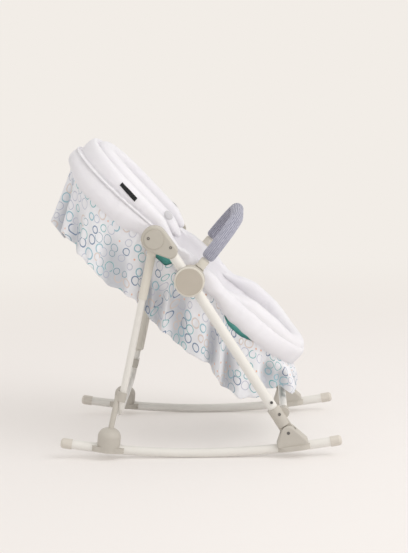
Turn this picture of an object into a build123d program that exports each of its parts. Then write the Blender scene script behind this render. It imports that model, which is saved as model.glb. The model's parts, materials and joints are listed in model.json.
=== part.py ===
"""Rocking bouncer seat: a padded reclining seat on a tube frame with curved rocker skids.

Millimetres, +Z up. X runs from the head end (-X) to the foot end (+X) and Y across the seat,
so +Y is the left hand of the child. The origin lies on the floor under the middle of the skids.
Pieces of the frame are drawn on the right side (-Y) and mirrored to the left.
"""

import os
from math import asin, cos, radians, sin, sqrt, tan

from build123d import *

os.makedirs("parts", exist_ok=True)

# Clearances
slip_gap = 0.15  # between fixed pieces that plug into each other
run_gap = 0.05  # radial, between a pin and what turns on it
side_gap = 0.5  # between parts that turn past each other
soft_gap = 0.4  # between a soft piece and its neighbour

# Rocker skids
skid_length = 660.0
skid_radius = 1960.0
skid_d = 22.0
tube_wall = 1.4
cap_wall = 1.2
cap_grip = 18.0
cap_end = 9.0

# Feet on the skids
rear_foot_x = -218.0
front_foot_ahead = 13.0  # of the knuckle
foot_length = 80.0
foot_width = 46.0
foot_flange = 12.0
foot_drop = 5.0  # below the skid's centre line
dome_d = 54.0
dome_height = 50.0  # above the skid's centre line
dome_round = 21.0

# Front legs, from the foot knuckle up past the seat hub to the fold hub
knuckle_x = 205.0
knuckle_z = 61.0
knuckle_r = 16.0
ear_span = 40.0
tongue_width = 15.0
tongue_room = 3.0
toe_ahead = 36.0
toe_r = 10.0
heel_behind = 19.0
heel_r = 8.0
foot_pin_d = 8.0
leg_d = 24.0
socket_wall = 3.5
socket_start = 18.0  # along the leg from the knuckle
socket_end = 66.0
leg_start = 32.0
crossbar_along = 42.0
crossbar_ahead = 15.0
crossbar_d = 18.0
crossbar_boss_wall = 3.5
crossbar_seat = 13.0  # depth of the crossbar in its boss
boss_length = 28.0  # from the middle of the leg

# Seat hub, where the seat and the bumper bar turn
seat_hub_x = -18.0
seat_hub_z = 421.0
hub_rim = 2.5  # round the button
hub_leg_wall = 4.0  # between the inner face of a hub and the leg
hub_cup_wall = 2.5  # between the leg and the button
button_lip = 1.5
button_cup_depth = 8.5
button_face_r = 31.0
button_flange = 2.5
button_face = 5.0
bezel_thick = 3.0
seat_pin_d = 12.0
pin_end = 1.0  # past the leg
pin_flange = 4.0
pin_head = 3.0

# Fold hub at the top of the front legs
fold_along = 125.0  # above the seat hub, along the leg
fold_behind = 16.0  # behind the leg's centre line
fold_rim = 7.5  # round the cover
fold_wall = 4.5  # round the leg
fold_arm = 44.0
fold_face = 4.0  # between the leg and the outer face
fold_cover_r = 22.5
fold_cover_seat = 2.5
fold_cover_thick = 4.5
fold_pin_d = 10.0
fold_pin_land = 2.5  # between the end of the pin and the cover
fold_pin_head = 2.5

# Rear frame, a U of tube that hangs from the fold hubs
rear_lean = 12.9
rear_bottom = 99.6  # height of the middle of the U
rear_d = 16.5
rear_bend = 28.0
rear_knuckle_r = 20.0
rear_knuckle_thick = 17.0
rear_socket_wall = 2.25
rear_socket_gap = 4.0  # from the edge of the fold hub
rear_socket_length = 114.0
rear_socket_floor = 12.0
sleeve_wall = 6.25
sleeve_length = 130.0
sleeve_above = 23.0  # over the clip
sleeve_lip = 6.0

# Clip that ties the rear frame to the rear foot
clip_above = 5.0  # over the bend of the U
clip_length = 22.0
clip_wall = 4.5
clip_play = 0.5
strut_r = 6.5
strut_depth = 18.0  # into the foot

# Bumper bar
bar_rise = 50.0
bar_reach = 170.0
bar_d = 16.0
bar_leg = 3.0  # straight run of the sleeve before its bend
bar_knuckle_r = 22.0
bar_knuckle_thick = 13.0
bar_socket_wall = 3.0
bar_socket_gap = 1.5  # from the edge of the seat hub
bar_socket_length = 21.5
bar_socket_floor = 1.5
bar_sleeve_gap = 4.0
bar_sleeve_wall = 6.0

# Seat frame, in the seat's own plane: u towards the feet, w out of the seat
seat_tilt = 43.0
ring_w = 20.0
ring_head = -388.0
ring_foot = 331.0
ring_half = 158.0
ring_d = 16.0
bracket_gap = 1.6  # from the cover
bracket_thick = 10.4
bracket_r = 24.0
bracket_lobe_r = 12.0
clamp_length = 68.0
clamp_wall = 3.0
tube_stop = 3.0

# Seat cover, tub and padding
cover_out = 15.0
cover_in = 16.0
cover_top = 38.0
cover_bottom = -26.0
cover_round = 9.0
liner_top = 30.0
liner_floor = -80.0
liner_wall = 10.0
liner_floor_u = 80.0
liner_floor_length = 130.0
liner_floor_half = 100.0
liner_corner = 58.0
wing_inset = 10.0
wing_side = 42.0
wing_head = 19.0
wing_high = 19.4  # over the cover at their bend, from where they rise to the head and fall to the hips
wing_bend = -147.0
wing_end = -78.0
wing_slope = 6.8
wing_round = 8.0
insert_above = 8.0  # over the wings
insert_width = 50.0
insert_end = -76.0
insert_round = 13.0
bolster_thick = 19.6
bolster_run = 196.0  # at full height, back from the foot end
bolster_ramp = 94.0
bolster_inset = 8.0
bolster_width = 50.0
bolster_round = 8.0
lining_drop = 26.0
lining_thick = 2.5
skirt_gap = 3.0  # under the cover
skirt_depth = 109.0
skirt_thick = 3.0
skirt_inset = 1.5  # from the side of the cover
skirt_head_inset = 5.0
skirt_head_rake = 58.0
skirt_foot_out = 26.0
skirt_foot_flare = 32.0
skirt_folds = 15
fold_depth = 9.0  # at the hem
hem_rise_back = 60.0  # from the foot end to where the hem starts to rise over the front crossbar
hem_rise = 39.0

# Harness
shoulder_y = 48.0
shoulder_pad_width = 36.0
shoulder_pad_thick = 9.0
shoulder_pad_length = 112.0
shoulder_pad_start = 170.0  # down the backrest from the rim
shoulder_pad_lift = 8.0  # of its middle over the backrest
strap_width = 20.0
strap_thick = 2.0
buckle_u = 50.0
buckle_rise = 18.0  # over the floor of the liner
buckle_length = 46.0
buckle_width = 44.0
buckle_thick = 14.0
buckle_round = 4.0
release_size = 16.0
release_play = 0.3
release_depth = 7.0
release_travel = 3.0
release_proud = 1.5
crotch_width = 30.0
crotch_floor_u = 130.0
crotch_lift_u = 112.0

# Side tag
tag_u = -240.0
tag_w = 53.0
tag_length = 52.0
tag_width = 14.0
tag_thick = 1.2

# Radii of what is bored for another piece
socket_r = leg_d / 2 + socket_wall
crossbar_boss_r = crossbar_d / 2 + crossbar_boss_wall
button_cup_r = button_face_r + button_lip
seat_hub_r = button_cup_r + hub_rim
pin_head_r = seat_pin_d / 2 + pin_flange
fold_hub_r = fold_cover_r + fold_rim
fold_arm_r = leg_d / 2 + fold_wall
fold_pin_head_r = fold_pin_d / 2 + pin_flange
rear_socket_r = rear_d / 2 + rear_socket_wall
sleeve_r = rear_d / 2 + sleeve_wall
bar_socket_r = bar_d / 2 + bar_socket_wall
bar_sleeve_r = bar_d / 2 + bar_sleeve_wall

# Stack across the seat, from the padded cover outwards
rim_half = ring_half + cover_out
bracket_in = rim_half + bracket_gap
bracket_out = bracket_in + bracket_thick
bar_knuckle_in = bracket_out + side_gap
bar_half = bar_knuckle_in + bar_socket_r
hub_in = bar_knuckle_in + bar_knuckle_thick + side_gap
track_half = hub_in + hub_leg_wall + leg_d / 2
leg_out = track_half + leg_d / 2
seat_hub_out = leg_out + hub_cup_wall + button_cup_depth
seat_pin_end = leg_out + pin_end
fold_hub_out = leg_out + fold_face
fold_pin_end = fold_hub_out - fold_cover_seat - fold_pin_land
rear_knuckle_in = hub_in - side_gap - rear_knuckle_thick
boss_in = track_half - boss_length
skirt_half = rim_half - skirt_inset

# Places along the seat and heights over its plane
rim_head = ring_head - cover_out
rim_foot = ring_foot + cover_out
pad_base = cover_top + soft_gap
wing_rise = tan(radians(wing_slope))
bolster_top = pad_base + bolster_thick
bolster_full = rim_foot - bolster_run
bolster_start = bolster_full - bolster_ramp
liner_inside = liner_floor + liner_wall
buckle_w = liner_inside + buckle_rise
skirt_top = cover_bottom - skirt_gap
skirt_bottom = skirt_top - skirt_depth
skirt_head_top = rim_head + skirt_head_inset
skirt_head_bottom = skirt_head_top + skirt_head_rake
skirt_foot_top = rim_foot + skirt_foot_out
skirt_foot_bottom = skirt_foot_top + skirt_foot_flare
hem_rise_start = rim_foot - hem_rise_back

# Points and directions of the frame
knuckle = Vector(knuckle_x, knuckle_z)
seat_hub = Vector(seat_hub_x, seat_hub_z)
leg_up = (seat_hub - knuckle).normalized()
leg_back = Vector(-leg_up.Y, leg_up.X)
hub_along = (seat_hub - knuckle).length
fold_hub = seat_hub + leg_up * fold_along + leg_back * fold_behind
leg_end = hub_along + fold_along - fold_pin_d
crossbar = knuckle + leg_up * crossbar_along - leg_back * crossbar_ahead
rear_down = Vector(-sin(radians(rear_lean)), -cos(radians(rear_lean)))
bar_out = Vector(cos(radians(bar_rise)), sin(radians(bar_rise)))
seat_w = Vector(sin(radians(seat_tilt)), cos(radians(seat_tilt)))
cap_start = skid_length / 2 - cap_end
rear_half = hub_in - side_gap - rear_socket_r
rear_reach = (fold_hub.Y - rear_bottom) / cos(radians(rear_lean))
rear_socket_start = fold_hub_r + rear_socket_gap
rear_socket_end = rear_socket_start + rear_socket_length
rear_tube_start = rear_socket_start + rear_socket_floor
clip_along = rear_reach - rear_bend - clip_length / 2 - clip_above
sleeve_end = clip_along - clip_length / 2 - sleeve_above
sleeve_start = sleeve_end - sleeve_length
bar_socket_start = seat_hub_r + bar_socket_gap
bar_socket_end = bar_socket_start + bar_socket_length
bar_tube_start = bar_socket_start + bar_socket_floor
bar_sleeve_start = bar_socket_end + bar_sleeve_gap
bar_bend = bar_reach - bar_sleeve_start - bar_leg
clip_at = fold_hub + rear_down * clip_along
clip_ahead = Vector(-rear_down.Y, rear_down.X)

# Planes
rear_plane = Plane(
    origin=(fold_hub.X, 0, fold_hub.Y), x_dir=(0, 1, 0), z_dir=(rear_down.Y, 0, -rear_down.X)
)
bar_plane = Plane(
    origin=(seat_hub_x, 0, seat_hub_z), x_dir=(0, 1, 0), z_dir=(bar_out.Y, 0, -bar_out.X)
)
seat_plane = Plane(
    origin=(seat_hub_x, 0, seat_hub_z), x_dir=(seat_w.Y, 0, -seat_w.X), z_dir=(seat_w.X, 0, seat_w.Y)
)
seat_axis = Axis((seat_hub_x, 0, seat_hub_z), seat_plane.z_dir)
seat_side = Plane(
    origin=(seat_hub_x, 0, seat_hub_z), x_dir=(seat_w.Y, 0, -seat_w.X), z_dir=(0, -1, 0)
)


def side(distance):
    """Upright plane facing outwards on the right side, at this distance from the middle."""
    return Plane.XZ.offset(distance)


def across(point, direction, distance):
    """Plane square to a direction in X and Z, centred on a point of the right side."""
    return Plane(
        origin=(point.X, -distance, point.Y), x_dir=(0, 1, 0), z_dir=(direction.X, 0, direction.Y)
    )


def skid_height(x):
    """Height of the skid's centre line."""
    return skid_d / 2 + skid_radius - sqrt(skid_radius**2 - x**2)


def skid_plane(x):
    """Plane that lies along the right skid at x, with its normal pointing up."""
    turn = asin(x / skid_radius)
    return Plane(
        origin=(x, -track_half, skid_height(x)),
        x_dir=(cos(turn), 0, sin(turn)),
        z_dir=(-sin(turn), 0, cos(turn)),
    )


def save(piece, name):
    """Label a finished piece and write it to its own file."""
    piece.part.label = name
    export_step(piece.part, f"parts/{name}.step")


def save_pair(piece, name):
    """Write a piece of the right side and its mirror image on the left."""
    save(piece, f"{name}_right")
    with BuildPart() as twin:
        mirror(piece.part, about=Plane.XZ)
    save(twin, f"{name}_left")


def save_group(piece, name):
    """Write a piece of the right side and its mirror image together in one node."""
    with BuildPart() as both:
        add(piece.part)
        mirror(piece.part, about=Plane.XZ)
    save(both, name)


# Rocker skids
with BuildLine(side(track_half)) as skid_path:
    ThreePointArc((-cap_start, skid_height(cap_start)), (0, skid_d / 2), (cap_start, skid_height(cap_start)))
skid_line = skid_path.line
skid_end = Plane(skid_line @ 0, z_dir=skid_line % 0)

with BuildPart() as skid:
    with BuildSketch(skid_end):
        Circle(skid_d / 2)
        Circle(skid_d / 2 - tube_wall, mode=Mode.SUBTRACT)
    sweep(path=skid_line)
save_pair(skid, "skid")

for end, name in ((-1, "skid_cap_rear"), (1, "skid_cap_front")):
    tip = Plane(skid_line @ ((1 + end) / 2), z_dir=(skid_line % ((1 + end) / 2)) * end)
    with BuildPart() as skid_cap:
        with BuildSketch(tip.offset(-cap_grip)):
            Circle(skid_d / 2 + cap_wall)
        extrude(amount=cap_grip + cap_end)
        fillet(skid_cap.edges().sort_by(lambda edge: edge.center().X * end)[-1], cap_end - cap_wall)
        with BuildSketch(tip.offset(-cap_grip)):
            Circle(skid_d / 2 + slip_gap)
        extrude(amount=cap_grip, mode=Mode.SUBTRACT)
    save_pair(skid_cap, name)

# Rear feet, each with a socket for the strut of its clip
hook_r = rear_d / 2 + clip_play
clip_back = clip_at - clip_ahead * (hook_r + clip_wall / 2)
strut_top = Vector(clip_back.X, -rear_half, clip_back.Y)
strut_foot = skid_plane(rear_foot_x).offset(dome_height - strut_depth).origin
strut_plane = Plane(strut_foot, z_dir=strut_top - strut_foot)

with BuildPart() as rear_foot:
    with BuildSketch(skid_plane(rear_foot_x).offset(-foot_drop)):
        Circle(dome_d / 2)
    extrude(amount=foot_drop + dome_height)
    fillet(rear_foot.faces().sort_by(Axis.Z)[-1].edges(), dome_round)
    with BuildSketch(skid_plane(rear_foot_x).offset(-foot_drop)):
        SlotOverall(foot_length, foot_width)
    extrude(amount=foot_flange)
    with BuildSketch(strut_plane):
        Circle(strut_r + slip_gap)
    extrude(amount=dome_height, mode=Mode.SUBTRACT)
    with BuildSketch(skid_end):
        Circle(skid_d / 2 + slip_gap)
    sweep(path=skid_line, mode=Mode.SUBTRACT)
save_pair(rear_foot, "rear_foot")

# Rear clips: an open hook round the rear frame on a strut out of the foot
with BuildPart() as rear_clip:
    with BuildSketch(strut_plane):
        Circle(strut_r)
    extrude(amount=(strut_top - strut_foot).length)
    clip_plane = Plane(
        origin=(clip_at.X, -rear_half, clip_at.Y),
        x_dir=(clip_ahead.X, 0, clip_ahead.Y),
        z_dir=(-rear_down.X, 0, -rear_down.Y),
    )
    with BuildSketch(clip_plane.offset(-clip_length / 2)):
        Circle(hook_r + clip_wall)
        with Locations((hook_r / 2, 0)):
            Rectangle(hook_r, 2 * (hook_r + clip_wall))
        with Locations((hook_r + clip_wall, 0)):
            Rectangle(2 * clip_wall, 3 * hook_r, mode=Mode.SUBTRACT)
    extrude(amount=clip_length)
    with BuildSketch(clip_plane.offset(-2 * clip_length)):
        Circle(hook_r)
        with Locations((hook_r, 0)):
            Rectangle(2 * hook_r, 2 * hook_r)
    extrude(amount=3 * clip_length, mode=Mode.SUBTRACT)
save_pair(rear_clip, "rear_clip")

# Front feet: a fork on a saddle, open at the top for the tongue of the leg socket
toe_x = knuckle_x + toe_ahead
heel_x = knuckle_x - heel_behind
with BuildPart() as front_foot:
    with BuildSketch(side(track_half - ear_span / 2)):
        with Locations((knuckle_x, knuckle_z)):
            Circle(knuckle_r)
        with Locations((toe_x, skid_height(toe_x) + skid_d / 2)):
            Circle(toe_r)
        with Locations((heel_x, skid_height(heel_x) + skid_d / 2)):
            Circle(heel_r)
        make_hull()
    extrude(amount=ear_span)
    fillet(front_foot.faces().filter_by(Axis.Y).edges(), heel_r / 2)
    with BuildSketch(skid_plane(knuckle_x + front_foot_ahead).offset(-foot_drop)):
        SlotOverall(foot_length, foot_width)
    extrude(amount=foot_flange)
    with BuildSketch(side(track_half - tongue_width / 2 - side_gap)):
        with Locations((knuckle_x, knuckle_z)):
            Circle(knuckle_r + tongue_room)
    extrude(amount=tongue_width + 2 * side_gap, mode=Mode.SUBTRACT)
    with BuildSketch(side(track_half - ear_span)):
        with Locations((knuckle_x, knuckle_z)):
            Circle(foot_pin_d / 2 + run_gap)
    extrude(amount=2 * ear_span, mode=Mode.SUBTRACT)
    with BuildSketch(skid_end):
        Circle(skid_d / 2 + slip_gap)
    sweep(path=skid_line, mode=Mode.SUBTRACT)
save_pair(front_foot, "front_foot")

with BuildPart() as foot_pin:
    with BuildSketch(side(track_half - ear_span / 2)):
        with Locations((knuckle_x, knuckle_z)):
            Circle(foot_pin_d / 2)
    extrude(amount=ear_span)
save_group(foot_pin, "front_foot_pins")

# Leg sockets, with the boss that takes the front crossbar
with BuildPart() as leg_socket:
    with BuildSketch(side(track_half - tongue_width / 2)):
        with Locations((knuckle_x, knuckle_z)):
            Circle(knuckle_r - side_gap)
        neck = knuckle + leg_up * (socket_start + socket_r / 2)
        with Locations((neck.X, neck.Y)):
            Circle(socket_r - 2 * side_gap)
        make_hull()
    extrude(amount=tongue_width)
    with BuildSketch(across(knuckle + leg_up * socket_start, leg_up, track_half)):
        Circle(socket_r)
    extrude(amount=socket_end - socket_start)
    with BuildSketch(side(boss_in)):
        with Locations((crossbar.X, crossbar.Y)):
            Circle(crossbar_boss_r)
        root = knuckle + leg_up * crossbar_along
        with Locations((root.X, root.Y)):
            Circle(leg_d / 2)
        make_hull()
    extrude(amount=track_half - boss_in)
    with BuildSketch(side(boss_in)):
        with Locations((crossbar.X, crossbar.Y)):
            Circle(crossbar_d / 2 + slip_gap)
    extrude(amount=crossbar_seat + slip_gap, mode=Mode.SUBTRACT)
    with BuildSketch(across(knuckle + leg_up * (leg_start - slip_gap), leg_up, track_half)):
        Circle(leg_d / 2 + slip_gap)
    extrude(amount=socket_end, mode=Mode.SUBTRACT)
    with BuildSketch(side(track_half - ear_span)):
        with Locations((knuckle_x, knuckle_z)):
            Circle(foot_pin_d / 2 + run_gap)
    extrude(amount=2 * ear_span, mode=Mode.SUBTRACT)
save_pair(leg_socket, "leg_socket")

with BuildPart() as front_crossbar:
    with BuildSketch(side(boss_in + crossbar_seat)):
        with Locations((crossbar.X, crossbar.Y)):
            Circle(crossbar_d / 2)
            Circle(crossbar_d / 2 - tube_wall, mode=Mode.SUBTRACT)
    extrude(amount=-2 * (boss_in + crossbar_seat))
save(front_crossbar, "front_crossbar")

with BuildPart() as front_leg:
    with BuildSketch(across(knuckle + leg_up * leg_start, leg_up, track_half)):
        Circle(leg_d / 2)
        Circle(leg_d / 2 - tube_wall, mode=Mode.SUBTRACT)
    extrude(amount=leg_end - leg_start)
    with BuildSketch(side(track_half - leg_d)):
        with Locations((seat_hub_x, seat_hub_z)):
            Circle(seat_pin_d / 2 + slip_gap)
    extrude(amount=2 * leg_d, mode=Mode.SUBTRACT)
save_pair(front_leg, "front_leg")

# Fold hubs: a housing on the end of the leg, its cover and its pin
with BuildPart() as fold_hub_housing:
    with BuildSketch(side(hub_in)):
        with Locations((fold_hub.X, fold_hub.Y)):
            Circle(fold_hub_r)
        arm_end = knuckle + leg_up * (hub_along + fold_along - fold_arm)
        with Locations((arm_end.X, arm_end.Y)):
            Circle(fold_arm_r)
        make_hull()
    extrude(amount=fold_hub_out - hub_in)
    fillet(fold_hub_housing.faces().sort_by(Axis.Y)[0].edges(), fold_cover_thick)
    with BuildSketch(side(fold_hub_out - fold_cover_seat)):
        with Locations((fold_hub.X, fold_hub.Y)):
            Circle(fold_cover_r + slip_gap)
    extrude(amount=2 * fold_cover_seat, mode=Mode.SUBTRACT)
    with BuildSketch(side(hub_in)):
        with Locations((fold_hub.X, fold_hub.Y)):
            Circle(fold_pin_d / 2 + run_gap)
    extrude(amount=fold_pin_end - hub_in, mode=Mode.SUBTRACT)
    with BuildSketch(across(knuckle + leg_up * (leg_end + slip_gap), leg_up, track_half)):
        Circle(leg_d / 2 + slip_gap)
    extrude(amount=-2 * fold_arm, mode=Mode.SUBTRACT)
save_pair(fold_hub_housing, "fold_hub_housing")

with BuildPart() as fold_hub_cover:
    with BuildSketch(side(fold_hub_out - fold_cover_seat)):
        with Locations((fold_hub.X, fold_hub.Y)):
            Circle(fold_cover_r)
    extrude(amount=fold_cover_thick)
    fillet(fold_hub_cover.edges().sort_by(Axis.Y)[0], fold_cover_thick / 3)
save_pair(fold_hub_cover, "fold_hub_cover")

with BuildPart() as fold_pin:
    with BuildSketch(side(rear_knuckle_in - fold_pin_head)):
        with Locations((fold_hub.X, fold_hub.Y)):
            Circle(fold_pin_head_r)
    extrude(amount=fold_pin_head - run_gap)
    with BuildSketch(side(rear_knuckle_in - fold_pin_head)):
        with Locations((fold_hub.X, fold_hub.Y)):
            Circle(fold_pin_d / 2)
    extrude(amount=fold_pin_end - rear_knuckle_in + fold_pin_head)
save_group(fold_pin, "fold_pins")

# Rear frame: one bent tube in a knuckle at each fold hub
with BuildPart() as rear_tube:
    with BuildLine(rear_plane) as rear_path:
        FilletPolyline(
            (-rear_half, rear_tube_start),
            (-rear_half, rear_reach),
            (rear_half, rear_reach),
            (rear_half, rear_tube_start),
            radius=rear_bend,
        )
    with BuildSketch(Plane(rear_path.line @ 0, z_dir=rear_path.line % 0)):
        Circle(rear_d / 2)
        Circle(rear_d / 2 - tube_wall, mode=Mode.SUBTRACT)
    sweep(path=rear_path.line)
save(rear_tube, "rear_tube")

with BuildPart() as rear_knuckle:
    with BuildSketch(side(rear_knuckle_in)):
        with Locations((fold_hub.X, fold_hub.Y)):
            Circle(rear_knuckle_r)
        shank = fold_hub + rear_down * rear_socket_start
        with Locations((shank.X, shank.Y)):
            Circle(rear_socket_r)
        make_hull()
    extrude(amount=hub_in - side_gap - rear_knuckle_in)
    with BuildSketch(across(shank, rear_down, rear_half)):
        Circle(rear_socket_r)
    extrude(amount=rear_socket_end - rear_socket_start)
    with BuildSketch(across(fold_hub + rear_down * (rear_tube_start - slip_gap), rear_down, rear_half)):
        Circle(rear_d / 2 + slip_gap)
    extrude(amount=rear_socket_end, mode=Mode.SUBTRACT)
    with BuildSketch(side(rear_knuckle_in - side_gap)):
        with Locations((fold_hub.X, fold_hub.Y)):
            Circle(fold_pin_d / 2 + run_gap)
    extrude(amount=hub_in - rear_knuckle_in, mode=Mode.SUBTRACT)
save_pair(rear_knuckle, "rear_knuckle")

with BuildPart() as rear_sleeve:
    with BuildSketch(across(fold_hub + rear_down * sleeve_start, rear_down, -rear_half)):
        Circle(sleeve_r)
    extrude(amount=sleeve_end - sleeve_start)
    fillet(rear_sleeve.edges().group_by(Axis.Z)[-1], sleeve_lip / 2)
    chamfer(rear_sleeve.edges().group_by(Axis.Z)[0], sleeve_lip)
    with BuildSketch(across(fold_hub + rear_down * sleeve_start, rear_down, -rear_half)):
        Circle(rear_d / 2 + slip_gap)
    extrude(amount=sleeve_end - sleeve_start, mode=Mode.SUBTRACT)
save(rear_sleeve, "rear_leg_sleeve")

# Seat hubs: housing, button, bezel and pin
with BuildPart() as seat_hub_housing:
    with BuildSketch(side(hub_in)):
        with Locations((seat_hub_x, seat_hub_z)):
            Circle(seat_hub_r)
    extrude(amount=seat_hub_out - hub_in)
    fillet(seat_hub_housing.edges().sort_by(Axis.Y)[-1], button_flange)
    with BuildSketch(side(seat_hub_out - button_cup_depth)):
        with Locations((seat_hub_x, seat_hub_z)):
            Circle(button_cup_r + run_gap)
    extrude(amount=button_cup_depth, mode=Mode.SUBTRACT)
    with BuildSketch(across(seat_hub - leg_up * 2 * seat_hub_r, leg_up, track_half)):
        Circle(leg_d / 2 + slip_gap)
    extrude(amount=4 * seat_hub_r, mode=Mode.SUBTRACT)
    with BuildSketch(side(hub_in)):
        with Locations((seat_hub_x, seat_hub_z)):
            Circle(seat_pin_d / 2 + run_gap)
    extrude(amount=seat_pin_end + slip_gap - hub_in, mode=Mode.SUBTRACT)
save_pair(seat_hub_housing, "seat_hub_housing")

with BuildPart() as hub_bezel:
    with BuildSketch(side(seat_hub_out)):
        with Locations((seat_hub_x, seat_hub_z)):
            Circle(seat_hub_r)
            Circle(button_face_r + run_gap, mode=Mode.SUBTRACT)
    extrude(amount=bezel_thick)
    fillet(hub_bezel.edges().group_by(Axis.Y)[0].sort_by(SortBy.LENGTH)[-1], bezel_thick / 2)
save_pair(hub_bezel, "hub_bezel")

with BuildPart() as hub_button:
    with BuildSketch(side(seat_hub_out - run_gap - button_flange)):
        with Locations((seat_hub_x, seat_hub_z)):
            Circle(button_cup_r)
    extrude(amount=button_flange)
    with BuildSketch(side(seat_hub_out - run_gap)):
        with Locations((seat_hub_x, seat_hub_z)):
            Circle(button_face_r)
    extrude(amount=button_face)
    fillet(hub_button.edges().sort_by(Axis.Y)[0], button_flange / 2)
save_pair(hub_button, "hub_button")

with BuildPart() as seat_pin:
    with BuildSketch(side(bracket_in)):
        with Locations((seat_hub_x, seat_hub_z)):
            Circle(pin_head_r)
    extrude(amount=pin_head)
    with BuildSketch(side(bracket_in)):
        with Locations((seat_hub_x, seat_hub_z)):
            Circle(seat_pin_d / 2)
    extrude(amount=seat_pin_end - bracket_in)
save_group(seat_pin, "seat_pins")

# Bumper bar: an arch of tube between two knuckles, with a fabric sleeve
with BuildPart() as bar_tube:
    with BuildLine(bar_plane) as bar_path:
        FilletPolyline(
            (-bar_half, bar_tube_start),
            (-bar_half, bar_reach),
            (bar_half, bar_reach),
            (bar_half, bar_tube_start),
            radius=bar_bend,
        )
    with BuildSketch(Plane(bar_path.line @ 0, z_dir=bar_path.line % 0)):
        Circle(bar_d / 2)
        Circle(bar_d / 2 - tube_wall, mode=Mode.SUBTRACT)
    sweep(path=bar_path.line)
save(bar_tube, "bar_tube")

with BuildPart() as bar_knuckle:
    with BuildSketch(side(bar_knuckle_in)):
        with Locations((seat_hub_x, seat_hub_z)):
            Circle(bar_knuckle_r)
        shank = seat_hub + bar_out * bar_socket_start
        with Locations((shank.X, shank.Y)):
            Circle(bar_socket_r)
        make_hull()
    extrude(amount=hub_in - side_gap - bar_knuckle_in)
    with BuildSketch(across(shank, bar_out, bar_half)):
        Circle(bar_socket_r)
    extrude(amount=bar_socket_end - bar_socket_start)
    with BuildSketch(across(seat_hub + bar_out * (bar_tube_start - slip_gap), bar_out, bar_half)):
        Circle(bar_d / 2 + slip_gap)
    extrude(amount=bar_socket_end, mode=Mode.SUBTRACT)
    with BuildSketch(side(bar_knuckle_in - side_gap)):
        with Locations((seat_hub_x, seat_hub_z)):
            Circle(seat_pin_d / 2 + run_gap)
    extrude(amount=hub_in - bar_knuckle_in, mode=Mode.SUBTRACT)
save_pair(bar_knuckle, "bar_knuckle")

with BuildPart() as bar_sleeve:
    with BuildLine(bar_plane) as sleeve_path:
        FilletPolyline(
            (-bar_half, bar_sleeve_start),
            (-bar_half, bar_reach),
            (bar_half, bar_reach),
            (bar_half, bar_sleeve_start),
            radius=bar_bend,
        )
    with BuildSketch(Plane(sleeve_path.line @ 0, z_dir=sleeve_path.line % 0)):
        Circle(bar_sleeve_r)
        Circle(bar_d / 2 + soft_gap, mode=Mode.SUBTRACT)
    sweep(path=sleeve_path.line)
save(bar_sleeve, "bar_sleeve")


def seat_slot(head, foot, half, mode=Mode.ADD):
    """Oval outline with round ends in a sketch on the seat's plane."""
    with Locations(((head + foot) / 2, 0)):
        SlotOverall(foot - head, 2 * half, mode=mode)


def seat_band(head, foot, half, width):
    """Oval ring in a sketch on the seat's plane, with its width measured inwards."""
    seat_slot(head, foot, half)
    seat_slot(head + width, foot - width, half - width, mode=Mode.SUBTRACT)


def seat_rounded(head, foot, half, corner):
    """Rounded rectangle in a sketch on the seat's plane."""
    with Locations(((head + foot) / 2, 0)):
        RectangleRounded(foot - head, 2 * half, corner)


# Seat frame: two bent tubes that meet in a bracket at each seat hub
ring_plane = seat_plane.offset(ring_w)
for end, sign, name in ((ring_head, -1, "seat_tube_back"), (ring_foot, 1, "seat_tube_leg")):
    with BuildPart() as seat_tube:
        with BuildLine(ring_plane) as tube_path:
            turn_u = end - sign * ring_half
            Line((sign * tube_stop, -ring_half), (turn_u, -ring_half))
            ThreePointArc((turn_u, -ring_half), (end, 0), (turn_u, ring_half))
            Line((turn_u, ring_half), (sign * tube_stop, ring_half))
        with BuildSketch(Plane(tube_path.line @ 0, z_dir=tube_path.line % 0)):
            Circle(ring_d / 2)
            Circle(ring_d / 2 - tube_wall, mode=Mode.SUBTRACT)
        sweep(path=tube_path.line)
    save(seat_tube, name)

clamp_half = ring_d / 2 + clamp_wall
clamp_in = ring_half - clamp_half
with BuildPart() as seat_bracket:
    with BuildSketch(side(bracket_in)):
        with Locations((seat_hub_x, seat_hub_z)):
            Circle(bracket_r)
        lobe = seat_hub + seat_w * ring_w
        with Locations((lobe.X, lobe.Y)):
            Circle(bracket_lobe_r)
        make_hull()
    extrude(amount=bracket_out - bracket_in)
    with BuildSketch(ring_plane.offset(-clamp_half)):
        with Locations((0, -(clamp_in + bracket_in + clamp_wall) / 2)):
            RectangleRounded(clamp_length, bracket_in + clamp_wall - clamp_in, clamp_wall)
    extrude(amount=2 * clamp_half)
    bore_start = ring_plane.from_local_coords((-clamp_length, -ring_half, 0))
    with BuildSketch(Plane(bore_start, z_dir=seat_plane.x_dir)):
        Circle(ring_d / 2 + slip_gap)
    extrude(amount=2 * clamp_length, mode=Mode.SUBTRACT)
    with BuildSketch(side(clamp_in - clamp_wall)):
        with Locations((seat_hub_x, seat_hub_z)):
            Circle(pin_head_r + side_gap)
    extrude(amount=bracket_in + pin_head + run_gap - clamp_in + clamp_wall, mode=Mode.SUBTRACT)
    with BuildSketch(side(bracket_in)):
        with Locations((seat_hub_x, seat_hub_z)):
            Circle(seat_pin_d / 2 + run_gap)
    extrude(amount=bracket_out, mode=Mode.SUBTRACT)
save_pair(seat_bracket, "seat_bracket")

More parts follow.
